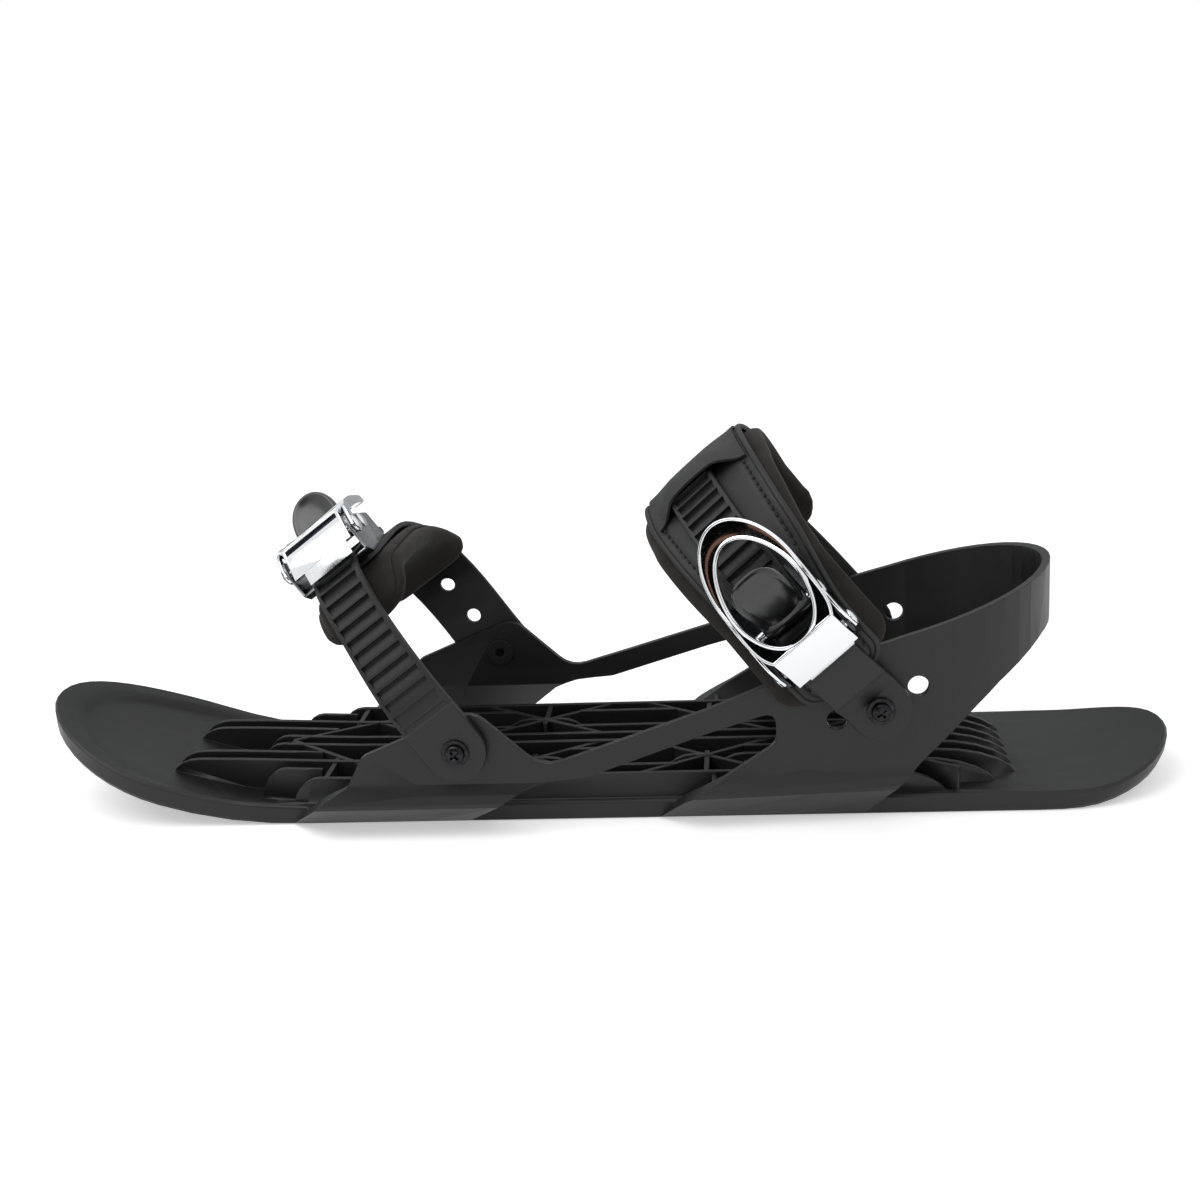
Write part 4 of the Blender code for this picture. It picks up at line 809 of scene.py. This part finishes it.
def makeAnkleCover(shape):
    length = nearestMark(ankleArch, 46.6, 65)
    inner = length - 2 * shape["endGap"]
    inset = shape["seamInset"]
    net = bmesh.new()
    bmesh.ops.create_grid(net, x_segments=150, y_segments=40, size=1.0)
    for v in net.verts:
        s = shape["endGap"] + inner * (v.co.x + 1) / 2
        half = coverHalf(shape, s, length, v.co.y) - shape["sideGap"]
        n = v.co.y * half
        edge = half - abs(n)
        dip = shape["seamDepth"] * exp(-((edge - inset) / shape["seamWidth"]) ** 2)
        swell = shape["swell"] * blendTo(edge, 0, inset, 0.0, 1.0) * blendTo(edge, inset, half, 1.0, 0.4)
        v.co = archPoint(ankleArch, s, swell - dip - shape["thick"], n)
    item = objectFrom("anklePadCover", net)
    addWall(item, ankleArch, length / 2, -1.0, shape["thick"] - 0.2)
    paint(smoothShade(item), imitationLeather("ankleCoverLeather"))
    carry(item, "ankle_strap", "ankle_pad_cover")

    rim, count = [], 90
    for side in (1, -1):
        end = shape["pipingEnd"]
        marks = [end + (length - 2 * end) * (1 - cos(pi * k / count)) / 2 for k in range(count + 1)]
        for s in (marks if side == 1 else reversed(marks)):
            n = side * (coverHalf(shape, s, length, side) - shape["pipingIn"])
            rim.append(archPoint(ankleArch, s, -shape["pipingLow"], n))
    rim = [p for i, p in enumerate(rim) if (p - rim[i - 1]).length > 0.25 * mm]
    piping = closedTube("anklePadPiping", rim, shape["piping"])
    paint(smoothShade(piping, 60), imitationLeather("pipingLeather"))
    carry(piping, "ankle_strap")

    thread = blackThread("coverThread")
    for tag, side in (("Rear", 1), ("Front", -1)):
        points, outs = [], []
        for k in range(161):
            s = shape["stitchEnd"] + (length - 2 * shape["stitchEnd"]) * k / 160
            n = side * (coverHalf(shape, s, length, side) - shape["sideGap"] - inset)
            points.append(archPoint(ankleArch, s, 0.05, n))
            outs.append((archPoint(ankleArch, s, 1.0, n) - archPoint(ankleArch, s, 0.0, n)).normalized())
        row = stitchRow("ankleStitches" + tag, points, outs, shape, thread)
        carry(row, "ankle_strap")


makeAnkleCover(coverShape)
print("ankle cover, piping and stitches made")


# tunnel flap over the strap's free end

flapShape = {
    "half": 21.0, "shift": 2.4,
    "base": 0.3, "rise": 4.2, "farRise": 0.7, "lip": 0.9,  # heights at its foot, mouth and far end, and lip
    "mouthEnd": 0.06, "farStart": 0.42,  # shares of the length where the height starts and ends its change
    "level": 0.34, "foot": 0.9,  # shares of the half width where it is level and where it comes down
    "thick": 1.0,
    "tuck": 4.0,  # how far the mouth's corners reach down the strap
}


def flapHeight(shape, f, share):
    rise = blendTo(f, shape["mouthEnd"], shape["farStart"], shape["rise"], shape["farRise"])
    rise += shape["lip"] * (1 - f) ** 4
    return shape["base"] + rise * (1 - blendTo(share, shape["level"], shape["foot"], 0.0, 1.0) ** 1.4)


def makeTunnelFlap(shape):
    start = nearestMark(ankleArch, -25, 94.6)
    end = nearestMark(ankleArch, 36, 84.6)
    net = bmesh.new()
    bmesh.ops.create_grid(net, x_segments=60, y_segments=48, size=1.0)
    for v in net.verts:
        f = (v.co.x + 1) / 2
        share = abs(v.co.y)
        mouth = start + shape["tuck"] * (1 - share ** 2)
        s = mouth + (end - mouth) * f
        v.co = archPoint(ankleArch, s, flapHeight(shape, f, share), v.co.y * shape["half"] + shape["shift"])
    item = objectFrom("ankleTunnelFlap", net)
    addWall(item, ankleArch, (start + end) / 2, 4.0, shape["thick"])
    paint(smoothShade(item), imitationLeather("flapLeather"))
    carry(item, "ankle_strap", "ankle_tunnel_flap")


makeTunnelFlap(flapShape)
print("tunnel flap made")


# ratchet buckles: t runs along the strap from the lever pin, m outwards, n across, all in mm

buckles = {
    "toe": {
        **toePlane, "pin": (-34.0, 84.6), "turn": 0.0, "shift": 0.0, "skew": -4.0,
        "stand": 3.0, "slot": True,  # how far the lever stands open, and its groove
        # the frame's nickel, toned darker than plated steel for the dark it reflects: painted shade, lighter here
        # than on the ankle buckle
        "sheetShadeTones": ("#888a8d", "#97999b"),
        "lip": ((-10.3, -7.2), (-6.8, -2.3), (-5.0, -2.2), (-5.0, -3.3), (-6.5, -3.4), (-9.4, -7.4)),
        "square": 2.1, "dish": 1.2, "tipDrop": 0.0,  # the tab's outline, hollow and drooping tip
    },
    "ankle": {
        **anklePlane, "pin": (-73.7, 36.8), "turn": 72.0, "shift": 1.0, "skew": 0.0,
        "stand": 0.0, "slot": False,
        # the frame's nickel, toned much darker for the shade inside the ankle buckle's ring: painted shade
        "sheetShadeTones": ("#3a3b3e", "#48494c"),
        "lip": ((-7.4, -4.4), (-6.4, -3.0), (-5.0, -2.6), (-5.0, -3.6), (-6.2, -3.9), (-6.8, -4.8)),
        "square": 3.0, "dish": -0.5, "tipDrop": 2.4,
    },
}


def buckleAxes(setup, t=0.0, m=0.0, lift=0.0):
    turn, skew = radians(setup["turn"]), radians(setup["skew"])
    level = Vector((0.0, 1.0, 0.0))
    up, across = leanWays(setup["lean"])
    flat = level * cos(turn) + up * sin(turn)
    out = up * cos(turn) - level * sin(turn)
    along = flat * cos(skew) + across * sin(skew)
    side = across * cos(skew) - flat * sin(skew)
    start = Vector((setup["pivot"][0], 0.0, setup["pivot"][1])) + level * setup["pin"][0] + up * setup["pin"][1]
    axes = Matrix((along, out, side)).transposed().to_4x4()
    axes.translation = (start + across * setup["shift"] + along * t + out * m) * mm
    return axes @ Matrix.Rotation(radians(lift), 4, "Z")


leverShape = {
    "plateLow": (-6.9, -2.0), "fold": (3.9, 8.4), "plateHalf": 13.3, "plateThick": 1.6, "plateEdge": 0.3,
    "slotFrom": 1.2, "slotTo": 3.6, "slotSide": 1.3,  # along the plate from the fold, and in from its sides
    "top": ((3.9, 8.4), (8.0, 8.75), (20.0, 7.8), (34.0, 4.6), (48.0, 1.8), (56.2, 0.7)),
    "shoulder": ((3.9, 13.3), (5.0, 14.1), (7.0, 15.1), (10.0, 15.9), (14.0, 16.4), (20.0, 16.7), (29.0, 16.7)),
    "ringMiddle": 29.0, "ringHalf": 16.7, "ringEnd": 56.0,
    "holeMiddle": 25.9, "holeLength": 21.0, "holeHalf": 13.5,
    "outerRim": 0.95, "innerRim": 1.1, "channel": 0.34, "thick": 2.2,
    "skirt": 1.9, "skirtFrom": 20.0, "skirtTo": 46.0,  # extra depth of the ring's sides, gone towards its tip
    "lugFrom": 15.5, "lugTo": 16.6, "grooveDown": 0.8, "grooveThick": 0.7,
    "lug": ((-3.4, -1.2), (-2.6, -2.6), (-1.2, -3.5), (0.6, -3.6), (2.3, -2.8), (3.5, -1.2), (5.6, 3.2), (8.0, 5.4),
            (13.4, 6.6), (13.4, 7.6), (8.0, 7.9), (3.6, 7.4), (-1.0, 3.4), (-3.3, 0.6)),
}


def ringLines(shape):
    side = smoothLine(shape["shoulder"], 4)
    reach = shape["ringEnd"] - shape["ringMiddle"]
    for k in range(1, 33):
        angle = pi / 2 * (1 - k / 32)
        side.append(Vector((shape["ringMiddle"] + reach * cos(angle), shape["ringHalf"] * sin(angle))))
    front = [Vector((shape["fold"][0], shape["plateHalf"] * k / 10)) for k in range(10)]
    half = front + side
    outer = half + [Vector((p.x, -p.y)) for p in reversed(half[1:-1])]
    inner = []
    for p in outer:
        angle = atan2(p.y / shape["holeHalf"], (p.x - shape["holeMiddle"]) / shape["holeLength"])
        wide = shape["holeHalf"] * (1 - 0.1 * cos(angle))
        inner.append(Vector((shape["holeMiddle"] + shape["holeLength"] * cos(angle), wide * sin(angle))))
    return outer, inner


def addPlate(net, shape, slot):
    low, fold, half = Vector(shape["plateLow"]), Vector(shape["fold"]), shape["plateHalf"]
    way = (fold - low).normalized()
    inward = Vector((way.y, -way.x)) * shape["plateThick"]
    part = bmesh.new()
    loops = []
    frames = [((low, fold), half)]
    if slot:
        frames.append(((fold - way * shape["slotTo"], fold - way * shape["slotFrom"]), half - shape["slotSide"]))
    for (a, b), wide in frames:
        corners = [part.verts.new((*p, side * wide)) for p, side in ((a, -1), (a, 1), (b, 1), (b, -1))]
        loops += [part.edges.new(pair) for pair in zip(corners, corners[1:] + corners[:1])]
    if slot:
        bmesh.ops.bridge_loops(part, edges=loops)
    else:
        bmesh.ops.contextual_create(part, geom=loops)
    addExtruded(net, part, part.faces[:], (inward.x, inward.y, 0), shape["plateEdge"], 3)
    return fold - way * shape["slotTo"], fold - way * shape["slotFrom"], inward / shape["plateThick"]


def makeLever(tag, shape, material, groove):
    setup = buckles[tag]
    outer, inner = ringLines(shape)
    crest = smoothLine(shape["top"], 10)
    deep, thick = shape["channel"], shape["thick"]
    bead = ((0.0, -0.5), (0.1, -0.2), (0.3, -0.04), (0.56, 0.0), (0.82, -0.06),
            (1.0, -deep * 0.62), (1.15, -deep * 0.92), (1.4, -deep))  # share of the rim's width, height
    section = [(0.0, 0.2, -thick), (0.0, 0.0, 0.3 - thick)]
    section += [(0.0, d * shape["outerRim"], h) for d, h in bead]
    section += [(0.5, 0.0, -deep - 0.02)]
    section += [(1.0, -d * shape["innerRim"], h) for d, h in reversed(bead)]
    section += [(1.0, 0.0, 0.3 - thick), (1.0, -0.2, -thick), (0.0, 0.2, -thick)]

    def place(fx, fy):
        i = round(fx * len(outer)) % len(outer)
        share, offset, height = section[round(fy * (len(section) - 1))]
        gap = inner[i] - outer[i]
        wide = gap.length
        offset *= min(1.0, wide / 3.0)
        spot = outer[i] + gap * share + gap.normalized() * offset
        j = min(range(len(crest)), key=lambda k: abs(crest[k].x - spot.x))
        if crest[j].x >= spot.x or j + 1 == len(crest):
            j = max(j - 1, 0)
        a, b = crest[j], crest[j + 1]
        f = min(max((spot.x - a.x) / max(b.x - a.x, 1e-6), 0.0), 1.0)
        if height < -1:
            height -= blendTo(spot.x, shape["skirtFrom"], shape["skirtTo"], shape["skirt"], 0.0)
        return Vector((spot.x, a.y + (b.y - a.y) * f + height * min(1.0, 0.45 + wide / 5), spot.y))

    net = gridBody(len(outer), len(section) - 1, place)
    axes, body, node = buckleAxes(setup, lift=setup["stand"]), tag + "_lever_body", tag + "_lever"
    a, b, inward = addPlate(net, shape, setup["slot"])
    if setup["slot"]:
        wide = shape["plateHalf"] - shape["slotSide"] - 0.05
        down = inward * shape["grooveDown"]
        under = inward * (shape["grooveDown"] + shape["grooveThick"])
        # a near-black plate under the groove: painted shade, standing for the dark of the groove's shadow
        floor = bmesh.new()
        addPrism(floor, [a + down, b + down, b + under, a + under], -wide, wide, 0.05)
        settle(floor, tag + "LeverSlotShade", axes, groove, body, node)
    for side in (-1, 1):
        near, far = sorted((side * shape["lugFrom"], side * shape["lugTo"]))
        addPrism(net, shape["lug"], near, far, 0.3)
    settle(net, tag + "Lever", axes, material, body, node, 40)


frameShape = {
    "cheek": ((-5.2, -9.0), (-5.2, -1.0), (-4.9, 1.2), (-3.8, 3.2), (-2.0, 4.4), (0.2, 4.8), (2.2, 4.6), (28.6, -0.2),
              (29.6, -0.7), (30.0, -1.7), (30.0, -11.4), (29.4, -12.0), (0.6, -12.0)),
    "cheekFrom": 14.2, "cheekTo": 15.2, "lipSides": (-8.8, 11.0),
    "base": ((-4.5, -9.6), (0.5, -12.0), (30.0, -12.0), (30.0, -11.1), (0.8, -11.1), (-4.1, -8.8)),
}


def makeFrame(tag, shape, material, litLipFinish):
    setup = buckles[tag]
    net = bmesh.new()
    for side in (-1, 1):
        near, far = sorted((side * shape["cheekFrom"], side * shape["cheekTo"]))
        addPrism(net, shape["cheek"], near, far, 0.25)
    addPrism(net, shape["base"], -shape["cheekTo"], shape["cheekTo"], 0.15)
    lip = bmesh.new()
    addPrism(lip, setup["lip"], *shape["lipSides"], 0.2)
    # the lip takes the pins' bright nickel while the cheeks take the frame's darker one: a painted highlight on the
    # lip, which is of the frame's own sheet
    for name, half, finish in (("FrameLip", lip, litLipFinish), ("Frame", net, material)):
        settle(half, tag + name, buckleAxes(setup), finish, tag + "_strap", tag + "_buckle_frame", 30)


pinShape = {
    "radius": 1.5, "leverReach": 16.9, "tabReach": 15.5,
    "tabPin": (15.0, -1.0), "tabLift": 50.0,  # the tab's pin from the lever's, and how far the tab stands up
    "head": ((0.0, 1.0), (1.085, 0.95), (2.015, 0.76), (2.728, 0.42), (3.1, 0.12), (3.1, 0.0)),
}


def makePins(tag, shape, material):
    for kind, spot in (("lever", (0.0, 0.0)), ("tab", shape["tabPin"])):
        reach = shape[kind + "Reach"]
        half = [(r, reach + z) for r, z in (*shape["head"], (shape["radius"], 0.0))]
        net = bmesh.new()
        addTurned(net, half + [(r, -z) for r, z in reversed(half)])
        axes, node = buckleAxes(buckles[tag], *spot), tag + "_" + kind + "_pin"
        settle(net, tag + kind.title() + "Pin", axes, material, tag + "_strap", node, 40)


tabShape = {
    "half": 10.0, "from": -2.8, "to": 25.4, "middle": 11.3, "hubSquare": 3.0, "crown": 1.95, "dropFrom": 17.5,
    "rim": ((0.0, -1.9, 0.0), (1.2, -1.9, 1.0), (0.3, -1.4, 1.0), (0.0, -0.4, 1.0), (0.05, 0.7, 1.0),
            (0.35, 1.5, 1.0), (0.95, 1.95, 1.0), (1.6, 1.9, 1.0),
            (2.5, 1.45, 1.0)),  # in from the edge, height, share of the radius
    "tooth": ((-1.8, -1.6), (2.4, -6.4), (4.4, -6.3), (3.2, 0.6), (0.0, 2.0)), "toothHalf": 7.0,
    "hub": ((0.0, -9.9), (2.8, -9.9), (3.1, -9.6), (3.1, 9.6), (2.8, 9.9), (0.0, 9.9)),
}


def makeTab(tag, shape, material):
    setup = buckles[tag]
    floor = shape["crown"] - setup["dish"]
    section = list(shape["rim"]) + [(0.0, floor + 0.12, 0.62), (0.0, floor + 0.03, 0.35), (0.0, floor, 0.0)]

    def place(fx, fy):
        angle = 2 * pi * fx
        inset, height, share = section[round(fy * (len(section) - 1))]
        power = setup["square"] if cos(angle) > 0 else shape["hubSquare"]
        bulge = (abs(cos(angle)) ** power + abs(sin(angle)) ** power) ** (-1 / power)
        reach = shape["to"] - shape["middle"] if cos(angle) > 0 else shape["middle"] - shape["from"]
        edge = Vector((reach * cos(angle), shape["half"] * sin(angle))) * bulge
        spot = edge * share - edge.normalized() * inset * min(share, 1.0) if share else Vector((0.0, 0.0))
        t = spot.x + shape["middle"]
        drop = setup["tipDrop"] * max(0.0, (t - shape["dropFrom"]) / 8) ** 1.5 if height > 0 else 0.0
        return Vector((t, height - drop, spot.y))

    net = gridBody(72, len(section) - 1, place)
    addTurned(net, shape["hub"])
    addPrism(net, shape["tooth"], -shape["toothHalf"], shape["toothHalf"], 0.3)
    axes = buckleAxes(setup, *pinShape["tabPin"], pinShape["tabLift"])
    settle(net, tag + "Tab", axes, material, tag + "_tab_body", tag + "_release_tab", 50)


def makeBuckles():
    chrome, gloss = chromePlate("chrome"), glossAbs("tabAbs")
    pinSteel = nickelSheet("pinNickel", "#dcdee0", "#eceef0")
    # near-black nickel for the plate under the lever's groove: painted shade
    groove = nickelSheet("grooveNickel", "#16161c", "#202028")
    for tag in buckles:
        makeLever(tag, leverShape, chrome, groove)
        # each frame's nickel carries its buckle's painted shade
        makeFrame(tag, frameShape, nickelSheet(tag + "Nickel", *buckles[tag]["sheetShadeTones"]), pinSteel)
        makePins(tag, pinShape, pinSteel)
        makeTab(tag, tabShape, gloss)
    print("buckles made")


makeBuckles()


# floor, light and background

stageSetup = {
    "floor": 4000.0,
    "floorGlow": 0.42,  # keeps the floor white to the camera, and the shadow on it soft
    "skyLevel": 0.7,
    "keyPlace": (-700.0, -500.0, 1300.0), "keySize": 1100.0, "keyPower": 9.0,
    "cards": (  # each one's place, size and colour
        ("lowFlag", (-85.0, -470.0, 165.0), (290.0, 270.0), "#080808"),
        ("highFlag", (-350.0, -470.0, 370.0), (300.0, 260.0), "#080808"),
        ("warmCard", (-136.0, -268.0, 247.0), (16.0, 52.0), "#8a6756"),
        ("greyCard", (-20.0, 330.0, 130.0), (1000.0, 260.0), "#bcbec0"),
    ),
}


def onlyBackground(tree):
    # 1 for rays from the camera, in a mirror or through glass, and 0 for those that light the object
    path = addNode(tree, "ShaderNodeLightPath")
    seen = path.outputs["Is Camera Ray"]
    for kind in ("Is Glossy Ray", "Is Transmission Ray"):
        either = addNode(tree, "ShaderNodeMath", {"operation": "MAXIMUM"})
        tree.links.new(seen, either.inputs[0])
        tree.links.new(path.outputs[kind], either.inputs[1])
        seen = either.outputs[0]
    return seen


def flatPanel(name, size, place, finish):
    net = bmesh.new()
    bmesh.ops.create_grid(net, x_segments=1, y_segments=1, size=0.5)
    bmesh.ops.scale(net, verts=net.verts, vec=(size[0] * mm, size[1] * mm, 1))
    bmesh.ops.transform(net, matrix=place, verts=net.verts)
    item = paint(objectFrom(name, net, False), finish)
    return item


def dullPaper(name, hexText):
    # uncoated paper or felt: an even colour with no shine
    matt = {"Base Color": toLinear(hexText), "Roughness": 1.0, "Specular IOR Level": 0.0}
    return startMaterial(name, 0.0, matt)[:3]


def makeCard(name, place, size, hexText):
    # seen only as a reflection
    spot = Vector(place) * mm
    aim = (spot - Vector((0, 0, 60 * mm))).to_track_quat("Z", "Y").to_matrix().to_4x4()
    aim.translation = spot
    item = flatPanel(name, size, aim, dullPaper(name + "Felt", hexText)[0])
    item.visible_camera = item.visible_diffuse = item.visible_shadow = False


def makeStage(setup):
    material, tree, shader = dullPaper("whitePaperFloor", "#f4f4f4")
    shader.inputs["Emission Color"].default_value = (1, 1, 1, 1)
    glow = addNode(tree, "ShaderNodeMath", {"operation": "MULTIPLY"})
    glow.inputs[1].default_value = setup["floorGlow"]
    tree.links.new(onlyBackground(tree), glow.inputs[0])
    tree.links.new(glow.outputs[0], shader.inputs["Emission Strength"])
    flatPanel("floor", (setup["floor"], setup["floor"]), Matrix.Identity(4), material)

    world = bpy.data.worlds.new("studio")
    bpy.context.scene.world = world
    world.use_nodes = True
    tree = world.node_tree
    ends = {"To Min": setup["skyLevel"], "To Max": 1.0}
    level = addNode(tree, "ShaderNodeMapRange", ends, {"Value": onlyBackground(tree)})
    tree.links.new(level.outputs[0], tree.nodes["Background"].inputs["Strength"])
    tree.nodes["Background"].inputs["Color"].default_value = (1, 1, 1, 1)

    key = newObject("softKey", bpy.data.lights.new("softKey", "AREA"))
    key.data.shape = "SQUARE"
    key.data.size = setup["keySize"] * mm
    key.data.energy = setup["keyPower"]
    key.location = Vector(setup["keyPlace"]) * mm
    key.rotation_euler = (Vector(setup["keyPlace"]) * mm).to_track_quat("Z", "Y").to_euler()

    for name, place, size, hexText in setup["cards"]:
        makeCard(name, place, size, hexText)
    bpy.context.scene.view_settings.view_transform = "Standard"


makeStage(stageSetup)
print("floor, light and background made")
